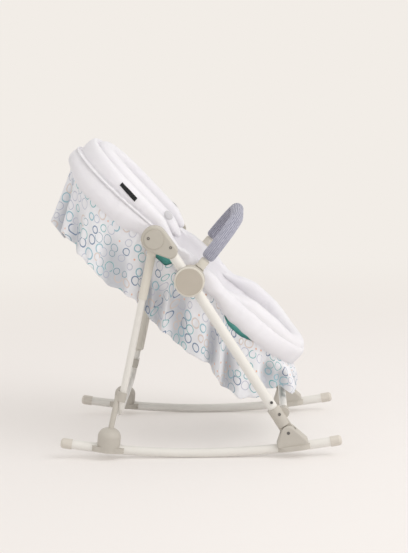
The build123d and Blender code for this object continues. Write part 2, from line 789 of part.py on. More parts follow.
# Padded cover over the seat frame, with a pocket for each bracket
channel = ring_d / 2 + soft_gap
pocket_half = clamp_half + soft_gap
with BuildPart() as rim_cover:
    with BuildSketch(seat_plane.offset(cover_bottom)):
        seat_band(rim_head, rim_foot, rim_half, cover_out + cover_in)
    extrude(amount=cover_top - cover_bottom)
    fillet(rim_cover.faces().sort_by(seat_axis)[-1].edges(), cover_round)
    with BuildSketch(ring_plane.offset(-channel)):
        seat_band(ring_head - channel, ring_foot + channel, ring_half + channel, 2 * channel)
    extrude(amount=2 * channel, mode=Mode.SUBTRACT)
    with BuildSketch(ring_plane.offset(-pocket_half)):
        with GridLocations(0, clamp_in - soft_gap + rim_half, 1, 2):
            Rectangle(clamp_length + 2 * soft_gap, rim_half - clamp_in + soft_gap)
    extrude(amount=2 * pocket_half, mode=Mode.SUBTRACT)
save(rim_cover, "rim_cover")

# Liner, a soft tub inside the cover
liner_head = rim_head + cover_out + cover_in + soft_gap
liner_foot = rim_foot - cover_out - cover_in - soft_gap
liner_half = rim_half - cover_out - cover_in - soft_gap
floor_head = liner_floor_u - liner_floor_length / 2
floor_foot = liner_floor_u + liner_floor_length / 2
with BuildPart() as seat_liner:
    with BuildSketch(seat_plane.offset(liner_top)):
        seat_rounded(liner_head, liner_foot, liner_half, liner_half - side_gap)
    with BuildSketch(seat_plane.offset(liner_floor)):
        seat_rounded(floor_head, floor_foot, liner_floor_half, liner_corner)
    loft()
    with BuildSketch(seat_plane.offset(liner_top)):
        inner_half = liner_half - liner_wall
        seat_rounded(liner_head + liner_wall, liner_foot - liner_wall, inner_half, inner_half - side_gap)
    with BuildSketch(seat_plane.offset(liner_floor + liner_wall)):
        seat_rounded(
            floor_head + liner_wall,
            floor_foot - liner_wall,
            liner_floor_half - liner_wall,
            liner_corner - liner_wall,
        )
    loft(mode=Mode.SUBTRACT)
save(seat_liner, "seat_liner")

def wing_top(u):
    """Height of the top of the wings over the seat's plane, before they fall to the hips."""
    return pad_base + wing_high + (wing_bend - u) * wing_rise


def crown(piece):
    """Faces of a piece of padding that look out of the seat."""
    return piece.faces().filter_by(lambda face: face.normal_at().dot(seat_plane.z_dir) > 1 / 2)


# Raised padding: wings round the head end, the head insert inside them and the leg bolster
wing_out_head = rim_head + wing_inset
wing_out_half = rim_half - wing_inset
wing_in_head = wing_out_head + wing_head
wing_in_half = wing_out_half - wing_side
with BuildPart() as head_wings:
    with BuildSketch(seat_plane.offset(pad_base)):
        seat_slot(wing_out_head, rim_foot, wing_out_half)
        seat_slot(wing_in_head, rim_foot - wing_side, wing_in_half, mode=Mode.SUBTRACT)
    extrude(amount=wing_top(rim_head) - pad_base)
    with BuildSketch(seat_side.offset(-rim_half)):
        Polygon(
            (rim_head, pad_base),
            (rim_head, wing_top(rim_head)),
            (wing_bend, wing_top(wing_bend)),
            (wing_end, pad_base),
            align=None,
        )
    extrude(amount=2 * rim_half, mode=Mode.INTERSECT)
    fillet(crown(head_wings).sort_by(SortBy.AREA)[-1].edges(), wing_round)
save(head_wings, "head_wings")

with BuildPart() as head_insert:
    with BuildSketch(seat_plane.offset(pad_base)):
        seat_band(wing_in_head + soft_gap, rim_foot, wing_in_half - soft_gap, insert_width)
    extrude(amount=wing_top(rim_head) + insert_above - pad_base)
    with BuildSketch(seat_side.offset(-rim_half)):
        Polygon(
            (rim_head, pad_base),
            (rim_head, wing_top(rim_head) + insert_above),
            (insert_end, wing_top(insert_end) + insert_above),
            (insert_end, pad_base),
            align=None,
        )
    extrude(amount=2 * rim_half, mode=Mode.INTERSECT)
    fillet(crown(head_insert).edges(), insert_round)
save(head_insert, "head_insert")

with BuildPart() as leg_bolster:
    with BuildSketch(seat_plane.offset(pad_base)):
        seat_band(rim_head, rim_foot - bolster_inset, rim_half - bolster_inset, bolster_width)
    extrude(amount=bolster_thick)
    with BuildSketch(seat_side.offset(-rim_half)):
        Polygon(
            (bolster_start, pad_base),
            (bolster_full, bolster_top),
            (rim_foot, bolster_top),
            (rim_foot, pad_base),
            align=None,
        )
    extrude(amount=2 * rim_half, mode=Mode.INTERSECT)
    fillet(leg_bolster.faces().sort_by(seat_axis)[-1].edges(), bolster_round)
save(leg_bolster, "leg_bolster")

# Lining band under the cover and the printed skirt that hangs round it
lining_half = skirt_half - skirt_thick - side_gap - fold_depth * lining_drop / skirt_depth
lining_in = cover_out + cover_in - lining_thick - 2 * soft_gap
with BuildPart() as lining_band:
    with BuildSketch(seat_plane.offset(cover_bottom - soft_gap)):
        seat_band(rim_head + lining_in, rim_foot - lining_thick, lining_half, lining_thick)
    extrude(amount=-lining_drop)
save(lining_band, "lining_band")

def folded_oval(inset, head, foot, depth):
    """Points round an oval inside the skirt's sides, with every second one drawn in by a fold."""
    with BuildSketch() as outer:
        seat_slot(head + inset, foot - inset, skirt_half - inset)
    with BuildSketch() as inner:
        seat_slot(head + inset + depth, foot - inset - depth, skirt_half - inset - depth)
    loops = [outline.sketch.face().outer_wire() for outline in (outer, inner)]
    count = 2 * skirt_folds
    return [loops[i % 2].position_at(i / count) for i in range(count)]


outer_top, inner_top = (
    folded_oval(inset, skirt_head_top, skirt_foot_top, side_gap) for inset in (0, skirt_thick)
)
outer_hem, inner_hem = (
    folded_oval(inset, skirt_head_bottom, skirt_foot_bottom, fold_depth) for inset in (0, skirt_thick)
)
with BuildPart() as tub_skirt:
    for top_points, hem_points, mode in (
        (outer_top, outer_hem, Mode.ADD),
        (inner_top, inner_hem, Mode.SUBTRACT),
    ):
        with BuildSketch(seat_plane.offset(skirt_top)):
            with BuildLine():
                Spline(top_points, periodic=True)
            make_face()
        with BuildSketch(seat_plane.offset(skirt_bottom)):
            with BuildLine():
                Spline(hem_points, periodic=True)
            make_face()
        loft(mode=mode)
    with BuildSketch(seat_side.offset(-rim_half)):
        hem_end = 2 * rim_foot
        with BuildLine():
            Polyline(
                (hem_rise_start, skirt_bottom),
                (hem_end, skirt_bottom + (hem_end - hem_rise_start) * tan(radians(hem_rise))),
                (hem_end, 2 * skirt_bottom),
                (hem_rise_start, 2 * skirt_bottom),
                close=True,
            )
        make_face()
    extrude(amount=2 * rim_half, mode=Mode.SUBTRACT)
save(tub_skirt, "tub_skirt")

# Harness: shoulder pads on the backrest, straps, buckle and release button
back_top = Vector(liner_head + liner_wall, liner_top)
back_down = (Vector(floor_head + liner_wall, liner_inside) - back_top).normalized()
back_out = Vector(-back_down.Y, back_down.X)
pad_start = back_top + back_down * shoulder_pad_start + back_out * shoulder_pad_lift
pad_tip = pad_start + back_down * shoulder_pad_length
with BuildPart() as shoulder_pad:
    with BuildSketch(seat_side.offset(shoulder_y - shoulder_pad_width / 2)):
        with BuildLine():
            Line(pad_start, pad_tip)
        trace(line_width=shoulder_pad_thick)
    extrude(amount=shoulder_pad_width)
    fillet(shoulder_pad.edges().filter_by(Axis.Y), shoulder_pad_thick / 3)
save_pair(shoulder_pad, "shoulder_pad")

buckle_mid = buckle_w + buckle_thick / 2
strap_from = seat_plane.from_local_coords((pad_tip.X, -shoulder_y, pad_tip.Y))
strap_to = seat_plane.from_local_coords((buckle_u - buckle_length / 2, -buckle_width * 2 / 5, buckle_mid))
strap_run = strap_to - strap_from
strap_out = strap_run.normalized()
strap_start = Plane(
    strap_from - strap_out * strap_width, x_dir=strap_run.cross(seat_plane.z_dir), z_dir=strap_out
)
pad_end = Plane(strap_from, z_dir=seat_plane.x_dir * back_down.X + seat_plane.z_dir * back_down.Y)
buckle_end = Plane(strap_to, z_dir=-seat_plane.x_dir)
with BuildPart() as shoulder_strap:
    with BuildSketch(strap_start):
        Rectangle(strap_width, strap_thick)
    extrude(amount=strap_run.length + 2 * strap_width)
    split(bisect_by=pad_end.offset(soft_gap), keep=Keep.TOP)
    split(bisect_by=buckle_end.offset(soft_gap), keep=Keep.TOP)
save_pair(shoulder_strap, "shoulder_strap")

with BuildPart() as buckle:
    with BuildSketch(seat_plane.offset(buckle_w)):
        with Locations((buckle_u, 0)):
            RectangleRounded(buckle_length, buckle_width, 2 * buckle_round)
    extrude(amount=buckle_thick)
    fillet(buckle.faces().sort_by(seat_axis)[-1].edges(), buckle_round / 2)
    with BuildSketch(seat_plane.offset(buckle_w + buckle_thick - release_depth)):
        with Locations((buckle_u, 0)):
            RectangleRounded(release_size, release_size, buckle_round)
    extrude(amount=release_depth, mode=Mode.SUBTRACT)
save(buckle, "buckle")

release_body = release_depth - release_travel - release_play
release_width = release_size - 2 * release_play
with BuildPart() as release_button:
    with BuildSketch(seat_plane.offset(buckle_w + buckle_thick - release_body)):
        with Locations((buckle_u, 0)):
            RectangleRounded(release_width, release_width, buckle_round)
    extrude(amount=release_body + release_proud)
    fillet(release_button.faces().sort_by(seat_axis)[-1].edges(), release_proud / 2)
save(release_button, "release_button")

with BuildPart() as crotch_strap:
    with BuildSketch(seat_side.offset(-crotch_width / 2)):
        floor_w = liner_inside + soft_gap + strap_thick / 2
        with BuildLine():
            FilletPolyline(
                (crotch_floor_u, floor_w),
                (crotch_lift_u, floor_w),
                (buckle_u + buckle_length / 2 + soft_gap + strap_thick / 4, buckle_mid),
                radius=crotch_width / 2,
            )
        trace(line_width=strap_thick)
    extrude(amount=crotch_width)
save(crotch_strap, "crotch_strap")

waist_rise = (buckle_mid - strap_thick / 2 - liner_inside) / (liner_top - liner_inside)
waist_half = liner_floor_half - liner_wall + waist_rise * (liner_half - liner_floor_half)
with BuildPart() as waist_strap:
    with BuildSketch(seat_side.offset(buckle_width / 2 + soft_gap)):
        with Locations((buckle_u, buckle_mid)):
            Rectangle(strap_width, strap_thick)
    extrude(amount=waist_half - buckle_width / 2 - 2 * soft_gap)
save_pair(waist_strap, "waist_strap")

# Blank tag sewn to the outside of the right wing
with BuildPart() as side_tag:
    with BuildSketch(seat_plane.offset(tag_w - tag_width / 2)):
        tag_out = tag_thick + soft_gap
        seat_band(rim_head + wing_inset - tag_out, rim_foot, rim_half - wing_inset + tag_out, tag_thick)
        with Locations((tag_u, 0)):
            Rectangle(tag_length, 2 * rim_half, align=(Align.CENTER, Align.MAX), mode=Mode.INTERSECT)
    extrude(amount=tag_width)
save(side_tag, "side_tag")
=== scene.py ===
"""Dresses the bouncer seat: painted tube frame, moulded hubs and feet, padded seat and printed skirt."""

import json
import logging
import math
from collections.abc import Iterator
from contextlib import contextmanager
from dataclasses import dataclass
from enum import Enum

import bmesh
import bpy
import numpy as np
from mathutils import Matrix, Vector


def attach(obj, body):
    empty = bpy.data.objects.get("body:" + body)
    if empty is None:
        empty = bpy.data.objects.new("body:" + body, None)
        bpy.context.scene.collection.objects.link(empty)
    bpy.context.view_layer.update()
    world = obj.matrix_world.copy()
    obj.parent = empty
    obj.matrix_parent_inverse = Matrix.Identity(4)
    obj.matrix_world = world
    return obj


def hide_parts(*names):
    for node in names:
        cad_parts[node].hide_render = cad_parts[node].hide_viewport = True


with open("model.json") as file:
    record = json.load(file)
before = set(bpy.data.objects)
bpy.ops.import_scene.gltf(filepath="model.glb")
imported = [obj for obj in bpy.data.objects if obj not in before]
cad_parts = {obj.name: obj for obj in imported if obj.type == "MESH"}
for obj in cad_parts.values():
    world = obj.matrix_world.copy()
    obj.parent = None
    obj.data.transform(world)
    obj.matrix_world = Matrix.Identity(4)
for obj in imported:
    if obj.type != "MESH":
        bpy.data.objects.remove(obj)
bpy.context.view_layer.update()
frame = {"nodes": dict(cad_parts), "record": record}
LOG = logging.getLogger("bouncer_seat")

Array = np.ndarray
Piece = bpy.types.Object
Mesh = bpy.types.Mesh
Material = bpy.types.Material
Node = bpy.types.Node
Socket = bpy.types.NodeSocket
Colour = tuple[float, float, float, float]
Shades = tuple[int, int, int]
TURN = 2 * math.pi
SLEEVE_RADIUS = 0.0152
SLEEVE_RIBS = 22
SIDES = (("right", -1), ("left", 1))
WADDING = {
    "quality": 4,
    "mass": 0.25,
    "tension_stiffness": 14,
    "compression_stiffness": 14,
    "shear_stiffness": 6,
    "bending_stiffness": 0.4,
    "use_pressure": True,
}


def tint(red: int, green: int, blue: int) -> Colour:
    """Linear colour of a display colour.

    Args:
        red, green, blue: display values from 0 to 255.

    Returns:
        The linear colour with full alpha.
    """
    shares = (np.array((red, green, blue)) / 255 + 0.055) / 1.055
    return (*(shares**2.4).tolist(), 1.0)


def smooth(low: float, high: float, value: Array) -> Array:
    """Smooth step from 0 at low to 1 at high: 3 t^2 - 2 t^3."""
    share = np.clip((value - low) / (high - low), 0, 1)
    return share * share * (3 - 2 * share)


def bump_at(value: Array, middle: float, width: float) -> Array:
    """Bell curve of height 1 round a middle value."""
    return np.exp(-(((value - middle) / width) ** 2))


def column(count: int) -> Array:
    """Even shares from 0 to 1, as a column."""
    return np.linspace(0, 1, count)[:, None]


def circle(count: int, whole: float = TURN) -> Array:
    """Even steps of one round, in angles or in another whole, without its end, as a row."""
    return np.linspace(0, whole, count, endpoint=False)[None, :]


def stacked(*parts: Array) -> Array:
    """Arrays broadcast together and joined on a new last axis."""
    return np.stack(np.broadcast_arrays(*parts), axis=-1)


class Graph:
    """A shader node tree with short calls to add and feed nodes."""

    def __init__(self, tree: bpy.types.NodeTree) -> None:
        """Keep the tree and empty it."""
        self.tree = tree
        self.tree.nodes.clear()

    def feed(self, target: Socket, value: object) -> None:
        """Give an input a value, or link another node's output to it."""
        if isinstance(value, Socket):
            self.tree.links.new(value, target)
        else:
            target.default_value = value

    def add(self, kind: str, inputs: dict | None = None, **settings: object) -> Node:
        """Add a node.

        Args:
            kind: the node's type, without the ShaderNode prefix.
            inputs: values or sockets for its inputs, by name or number.
            settings: attributes of the node.

        Returns:
            The new node.
        """
        node = self.tree.nodes.new("ShaderNode" + kind)
        for name, value in settings.items():
            setattr(node, name, value)
        for key, value in (inputs or {}).items():
            self.feed(node.inputs[key], value)
        return node

    def math(self, operation: str, *values: object) -> Socket:
        """Output of a Math node that is fed with numbers or sockets, in order."""
        return self.add("Math", dict(enumerate(values)), operation=operation).outputs[0]

    def blend(self, share: Socket, first: object, second: object) -> Socket:
        """Mix of two colours by a share from 0 to 1."""
        return self.add("Mix", {"Factor": share, 6: first, 7: second}, data_type="RGBA").outputs[2]


def relief_group(name: str) -> tuple[Graph, Node, Node]:
    """Empty shader node group from Vector and Scale to Height and Spread.

    Args:
        name: the group's name.

    Returns:
        The group's graph and its input and output nodes.
    """
    tree = bpy.data.node_groups.new(name, "ShaderNodeTree")
    for label, way, kind in (
        ("Vector", "INPUT", "Vector"),
        ("Scale", "INPUT", "Float"),
        ("Height", "OUTPUT", "Float"),
        ("Spread", "OUTPUT", "Float"),
    ):
        tree.interface.new_socket(label, in_out=way, socket_type="NodeSocket" + kind)
    return Graph(tree), tree.nodes.new("NodeGroupInput"), tree.nodes.new("NodeGroupOutput")


def grain_group() -> bpy.types.NodeTree:
    """Moulded grain: fine noise as height, and slow noise as a spread of tone.

    Returns:
        The group; its Scale is of the fine noise.
    """
    graph, start, end = relief_group("grain")
    vector, scale = start.outputs["Vector"], start.outputs["Scale"]
    fine = graph.add("TexNoise", {"Vector": vector, "Scale": scale, "Detail": 3.0})
    slower = graph.math("MULTIPLY", scale, 0.02)
    slow = graph.add("TexNoise", {"Vector": vector, "Scale": slower, "Detail": 2.0})
    graph.feed(end.inputs["Height"], fine.outputs["Fac"])
    graph.feed(end.inputs["Spread"], slow.outputs["Fac"])
    return graph.tree


def knit_group() -> bpy.types.NodeTree:
    """Knit: the surface sin x cos y + sin y cos z + sin z cos x, which dimples a cloth that faces any way.

    Returns:
        The group; its Scale is stitches in a metre.
    """
    graph, start, end = relief_group("knit")
    vector = start.outputs["Vector"]
    parts = graph.add("SeparateXYZ", {0: vector})
    pace = graph.math("MULTIPLY", start.outputs["Scale"], TURN)
    phases = [graph.math("MULTIPLY", socket, pace) for socket in parts.outputs]
    sines = [graph.math("SINE", phase) for phase in phases]
    cosines = [graph.math("COSINE", phase) for phase in phases]
    products = [graph.math("MULTIPLY", sines[i], cosines[(i + 1) % 3]) for i in range(3)]
    total = graph.math("ADD", graph.math("ADD", products[0], products[1]), products[2])
    slow = graph.add("TexNoise", {"Vector": vector, "Scale": 18.0, "Detail": 4.0})
    graph.feed(end.inputs["Height"], total)
    graph.feed(end.inputs["Spread"], slow.outputs["Fac"])
    return graph.tree


GROUPS = {"grain": grain_group(), "knit": knit_group()}


class Surface(Enum):
    """What a finish is made of, with the group that gives its relief."""

    MOULDED = "grain"
    CLOTH = "knit"


@dataclass(frozen=True)
class Finish:
    """A finish of one tone, with a relief and a slow change of tone."""

    name: str
    surface: Surface
    colour: Colour
    shade: Colour
    roughness: float
    scale: float
    relief: float
    sheen: float = 0.0
    metal: float = 0.0
    coat: float = 0.0

    def build(self) -> Material:
        """Make the material: the group's spread mixes the two tones and its height drives a bump.

        Returns:
            The material.
        """
        material, graph, shader = start_material(self.name, self.roughness, self.sheen)
        graph.feed(shader.inputs["Metallic"], self.metal)
        graph.feed(shader.inputs["Coat Weight"], self.coat)
        spread = add_relief(graph, shader, self.surface, self.scale, self.relief)
        graph.feed(shader.inputs["Base Color"], graph.blend(spread, self.colour, self.shade))
        return material


def start_material(name: str, roughness: float, sheen: float) -> tuple[Material, Graph, Node]:
    """Material with an empty graph but for its shader and output.

    Args:
        name: the material's name.
        roughness: of the shader.
        sheen: weight of the cloth sheen.

    Returns:
        The material, its graph and its shader node.
    """
    material = bpy.data.materials.new(name)
    material.use_nodes = True
    graph = Graph(material.node_tree)
    inputs = {"Roughness": roughness, "Sheen Weight": sheen, "Sheen Roughness": 0.5}
    shader = graph.add("BsdfPrincipled", inputs)
    graph.add("OutputMaterial", {"Surface": shader.outputs[0]})
    return material, graph, shader


def add_relief(graph: Graph, shader: Node, surface: Surface, scale: float, depth: float) -> Socket:
    """Give a material the relief of a surface: its group's height drives a bump.

    Args:
        graph, shader: of the material.
        surface: whose group is used.
        scale: of the group.
        depth: what the full range of the height is worth, in metres.

    Returns:
        The group's spread of tone.
    """
    inputs = {"Vector": graph.add("TexCoord").outputs["Object"], "Scale": scale}
    effect = graph.add("Group", inputs, node_tree=GROUPS[surface.value])
    bump = graph.add("Bump", {"Strength": 0.6, "Distance": depth, "Height": effect.outputs["Height"]})
    graph.feed(shader.inputs["Normal"], bump.outputs["Normal"])
    return effect.outputs["Spread"]


@dataclass(frozen=True)
class PrintFinish:
    """Thin printed cotton: scattered rings and dots on a pale ground, on the cloth's own UV in metres, with
    painted shade in the fold valleys.
    """

    name: str
    ground: Colour
    shade: Colour
    # Colour of the painted shade in the fold valleys.
    fold_shade: Colour
    inks: tuple[Colour, ...]
    dot_ink: Colour
    pitch: float = 0.025
    least_ring: float = 0.29
    ring_spread: float = 0.17
    line: float = 0.046
    dot: float = 0.095
    ringed_share: float = 0.76
    strength: float = 0.85

    def build(self) -> Material:
        """Make the material: each cell of a scattered pattern has its ink and a ring or a dot, and the ground
        darkens to painted shade in the fold valleys.

        Returns:
            The material.
        """
        material, graph, shader = start_material(self.name, 0.85, 0.3)
        place = graph.add("TexCoord")
        inputs = {"Vector": place.outputs["UV"], "Scale": 1 / self.pitch, "Randomness": 0.6}
        cells = graph.add("TexVoronoi", inputs, voronoi_dimensions="2D", feature="F1")
        chances = graph.add("SeparateColor", {0: cells.outputs["Color"]})
        ramp = graph.add("ValToRGB", {"Fac": chances.outputs[0]})
        ramp.color_ramp.interpolation = "CONSTANT"
        stops = ramp.color_ramp.elements
        for i, ink in enumerate(self.inks):
            if i >= len(stops):
                stops.new(i / len(self.inks))
            stops[i].position = i / len(self.inks)
            stops[i].color = ink
        distance = cells.outputs["Distance"]
        size = graph.math("MULTIPLY_ADD", chances.outputs[2], self.ring_spread, self.least_ring)
        off_ring = graph.math("ABSOLUTE", graph.math("SUBTRACT", distance, size))
        width = graph.math("MULTIPLY_ADD", chances.outputs[0], self.line, self.line / 2)
        ring = graph.math("LESS_THAN", off_ring, width)
        ringed = graph.math("LESS_THAN", chances.outputs[1], self.ringed_share)
        dot = graph.math("LESS_THAN", distance, self.dot)
        plain = graph.math("GREATER_THAN", chances.outputs[1], self.ringed_share)
        ring_mask = graph.math("MULTIPLY", graph.math("MULTIPLY", ring, ringed), self.strength)
        dot_mask = graph.math("MULTIPLY", graph.math("MULTIPLY", dot, plain), self.strength)
        spread = add_relief(graph, shader, Surface.CLOTH, 900.0, 0.0002)
        weave = graph.blend(spread, self.ground, self.shade)
        # Painted shade: the ground darkens towards the valley colour by the depth of the skirt's folds.
        depth = graph.add("Attribute", attribute_name="fold_shade")
        ground = graph.blend(depth.outputs["Fac"], weave, self.fold_shade)
        rings = graph.blend(ring_mask, ground, ramp.outputs["Color"])
        graph.feed(shader.inputs["Base Color"], graph.blend(dot_mask, rings, self.dot_ink))
        return material


@dataclass(frozen=True)
class HeatherFinish:
    """Melange knit of two yarns, streaked along the length of the piece's own UV, with painted shade in each
    rib's groove.
    """

    name: str
    dark: Colour
    light: Colour
    # Colour of the painted shade in the grooves between the ribs.
    groove_shade: Colour
    rib: float
    streak: tuple[float, float] = (90.0, 700.0)

    def build(self) -> Material:
        """Make the material: noise stretched along the piece mixes the yarns, with painted shade darkening
        each rib's groove.

        Returns:
            The material.
        """
        material, graph, shader = start_material(self.name, 0.9, 0.35)
        uv = graph.add("TexCoord").outputs["UV"]
        stretch = graph.add("Mapping", {"Vector": uv, "Scale": (*self.streak, 1.0)})
        noise = graph.add("TexNoise", {"Vector": stretch.outputs["Vector"], "Scale": 1.0, "Detail": 4.0})
        spread = graph.add("MapRange", {"Value": noise.outputs["Fac"], "From Min": 0.3, "From Max": 0.7})
        yarns = graph.blend(spread.outputs["Result"], self.dark, self.light)
        parts = graph.add("SeparateXYZ", {0: uv})
        # Painted shade: the yarns darken to the groove colour between the ribs.
        wave = graph.math("SINE", graph.math("MULTIPLY", parts.outputs[1], math.pi / self.rib))
        crest = graph.math("POWER", graph.math("ABSOLUTE", wave), 0.45)
        graph.feed(shader.inputs["Base Color"], graph.blend(crest, self.groove_shade, yarns))
        add_relief(graph, shader, Surface.CLOTH, 450.0, 0.0004)
        return material


def plastic(name: str, colour: Shades, shade: Shades, *values: float, **more: float) -> Finish:
    """Moulded or painted finish from two display colours, its roughness, grain scale and relief."""
    return Finish(name, Surface.MOULDED, tint(*colour), tint(*shade), *values, **more)


def cloth(name: str, colour: Shades, shade: Shades, *values: float) -> Finish:
    """Knit or woven finish from two display colours, its roughness, stitch scale, relief and sheen."""
    return Finish(name, Surface.CLOTH, tint(*colour), tint(*shade), *values)


FINISHES = {
    "tube_white": plastic(
        "warm_white_paint", (231, 228, 222), (223, 219, 212), 0.34, 700.0, 0.00006, coat=0.15
    ),
    "foot_grey": plastic("grey_plastic", (196, 190, 180), (185, 179, 169), 0.55, 1500.0, 0.00012),
    "cap_grey": plastic("cap_plastic", (214, 207, 197), (205, 198, 187), 0.5, 1500.0, 0.0001),
    "hub_beige": plastic("beige_plastic", (192, 186, 175), (182, 176, 164), 0.5, 1500.0, 0.0001),
    "bezel_white": plastic("white_plastic", (222, 217, 206), (214, 208, 196), 0.42, 1300.0, 0.00008),
    "button_beige": plastic("beige_disc", (190, 181, 168), (182, 173, 159), 0.5, 1700.0, 0.0001),
    "pin_steel": plastic("zinc_steel", (126, 124, 122), (102, 101, 100), 0.38, 900.0, 0.00003, metal=1.0),
    "cover_white": cloth("white_knit", (248, 246, 248), (242, 239, 244), 0.9, 700.0, 0.0003, 0.35),
    "lining_teal": cloth("teal_cotton", (120, 207, 197), (100, 190, 181), 0.85, 900.0, 0.0002, 0.2),
    "pad_grey": cloth("grey_mesh", (206, 202, 212), (182, 178, 190), 0.9, 330.0, 0.0009, 0.3),
    "webbing_grey": cloth("pale_webbing", (222, 220, 222), (205, 203, 206), 0.8, 600.0, 0.0004, 0.2),
    "buckle_grey": plastic("buckle_plastic", (214, 210, 205), (204, 200, 194), 0.35, 900.0, 0.00005),
    "release_grey": plastic("button_plastic", (150, 150, 154), (138, 138, 142), 0.4, 900.0, 0.00005),
    "tag_black": cloth("black_tape", (30, 30, 33), (22, 22, 25), 0.85, 800.0, 0.0003, 0.1),
    "skirt_print": PrintFinish(
        "ring_print",
        ground=tint(249, 249, 252),
        shade=tint(240, 240, 244),
        # Painted shade colour of the fold valleys.
        fold_shade=tint(213, 215, 220),
        inks=(
            tint(50, 132, 156),
            tint(180, 186, 206),
            tint(92, 178, 182),
            tint(200, 202, 216),
            tint(80, 116, 156),
            tint(142, 192, 206),
            tint(226, 212, 204),
        ),
        dot_ink=tint(242, 186, 150),
    ),
    "sleeve_grey": HeatherFinish(
        "heather_grey",
        dark=tint(152, 152, 170),
        light=tint(206, 206, 218),
        # Painted shade colour of the rib grooves.
        groove_shade=tint(104, 104, 124),
        rib=TURN * SLEEVE_RADIUS / SLEEVE_RIBS,
    ),
}
MATERIALS = {slot: finish.build() for slot, finish in FINISHES.items()}


def new_object(name: str, data: bpy.types.ID) -> Piece:
    """Object of some data, linked to the scene."""
    piece = bpy.data.objects.new(name, data)
    bpy.context.scene.collection.objects.link(piece)
    return piece


def grid_object(
    name: str, points: Array, wrap_rows: bool = False, wrap_cols: bool = True, uv: Array | None = None
) -> Piece:
    """Mesh of quads over a grid of points.

    Args:
        name: of the object and its mesh.
        points: rows x columns x 3, in metres.
        wrap_rows: whether the last row joins the first.
        wrap_cols: whether the last column joins the first.
        uv: rows x columns x 2 with one more row or column where the grid wraps.

    Returns:
        The object, linked to the scene.
    """
    rows, cols = points.shape[:2]
    index = np.arange(rows * cols).reshape(rows, cols)
    if wrap_rows:
        index = np.vstack([index, index[:1]])
    if wrap_cols:
        index = np.hstack([index, index[:, :1]])
    quads = stacked(index[:-1, :-1], index[1:, :-1], index[1:, 1:], index[:-1, 1:]).reshape(-1, 4)
    mesh = bpy.data.meshes.new(name)
    mesh.from_pydata(points.reshape(-1, 3).tolist(), [], quads.tolist())
    if uv is not None:
        layer = mesh.uv_layers.new(name="UVMap")
        corners = np.stack([uv[:-1, :-1], uv[1:, :-1], uv[1:, 1:], uv[:-1, 1:]], axis=-2)
        layer.data.foreach_set("uv", corners.ravel())
    weld(mesh)
    return new_object(name, mesh)


@contextmanager
def opened(mesh: Mesh) -> Iterator[bmesh.types.BMesh]:
    """Open a mesh for editing; at the end its normals turn outwards and it is shaded smooth."""
    work = bmesh.new()
    work.from_mesh(mesh)
    yield work
    bmesh.ops.recalc_face_normals(work, faces=work.faces)
    work.to_mesh(mesh)
    work.free()
    mesh.shade_smooth()


def weld(mesh: Mesh) -> None:
    """Merge doubled points and drop flat faces."""
    with opened(mesh) as work:
        bmesh.ops.remove_doubles(work, verts=work.verts, dist=1e-6)
        bmesh.ops.dissolve_degenerate(work, edges=work.edges, dist=1e-7)


def close_ends(piece: Piece) -> None:
    """Fill the open ends of a tube with faces."""
    with opened(piece.data) as work:
        bmesh.ops.holes_fill(work, edges=[edge for edge in work.edges if edge.is_boundary], sides=0)


def coordinates(mesh: Mesh, field: str = "co") -> Array:
    """All points of a mesh, or their normals, as an array of n x 3."""
    flat = np.empty(len(mesh.vertices) * 3)
    mesh.vertices.foreach_get(field, flat)
    return flat.reshape(-1, 3)


def move_points(mesh: Mesh, points: Array) -> None:
    """Put a mesh's points in new places."""
    mesh.vertices.foreach_set("co", points.ravel())
    mesh.update()


def thicken(piece: Piece, thickness: float) -> None:
    """Give a sheet its thickness."""
    piece.modifiers.new("thickness", "SOLIDIFY").thickness = thickness


def apply_modifiers(piece: Piece) -> None:
    """Replace the piece's mesh by its evaluated one and remove its modifiers."""
    graph = bpy.context.evaluated_depsgraph_get()
    mesh = bpy.data.meshes.new_from_object(piece.evaluated_get(graph))
    old = piece.data
    piece.modifiers.clear()
    piece.data = mesh
    bpy.data.meshes.remove(old)


def inflate(
    piece: Piece, pressure: float, reach: float, voxel: float = 0.005, frames: int = 18
) -> None:
    """Swell a closed pad as cloth under pressure, with each point's movement capped.

    Args:
        piece: the pad.
        pressure: of the simulation.
        reach: the most that a point may move, in metres.
        voxel: size of the remesh, in metres.
        frames: of simulation.
    """
    remesh = piece.modifiers.new("remesh", "REMESH")
    remesh.mode = "VOXEL"
    remesh.voxel_size = voxel
    apply_modifiers(piece)
    rest = coordinates(piece.data)
    swell = piece.modifiers.new("cloth", "CLOTH")
    for name, value in WADDING.items():
        setattr(swell.settings, name, value)
    swell.settings.uniform_pressure_force = pressure
    swell.settings.effector_weights.gravity = 0
    swell.collision_settings.use_collision = False
    swell.point_cache.frame_start = 1
    swell.point_cache.frame_end = frames
    scene = bpy.context.scene
    for step in range(1, frames + 1):
        scene.frame_set(step)
    apply_modifiers(piece)
    moved = coordinates(piece.data) - rest
    length = np.linalg.norm(moved, axis=1, keepdims=True)
    moved *= np.minimum(1, reach / np.maximum(length, 1e-9))
    move_points(piece.data, rest + moved)
    finer = piece.modifiers.new("subdivision", "SUBSURF")
    finer.levels = 1
    finer.render_levels = 1
    apply_modifiers(piece)
    piece.data.shade_smooth()
    scene.frame_set(1)


def finish_piece(piece: Piece, slot: str, body: str, *nodes: str) -> None:
    """Give a new piece the material of its slot and its body, and hide the CAD nodes that it stands for.

    Args:
        piece: the new object.
        slot: the record's material slot.
        body: the body that it rides on.
        nodes: CAD nodes that it replaces.
    """
    piece.data.materials.clear()
    piece.data.materials.append(MATERIALS[slot])
    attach(piece, body)
    if nodes:
        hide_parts(*nodes)
    LOG.info("%s on %s, %d faces", piece.name, body, len(piece.data.polygons))


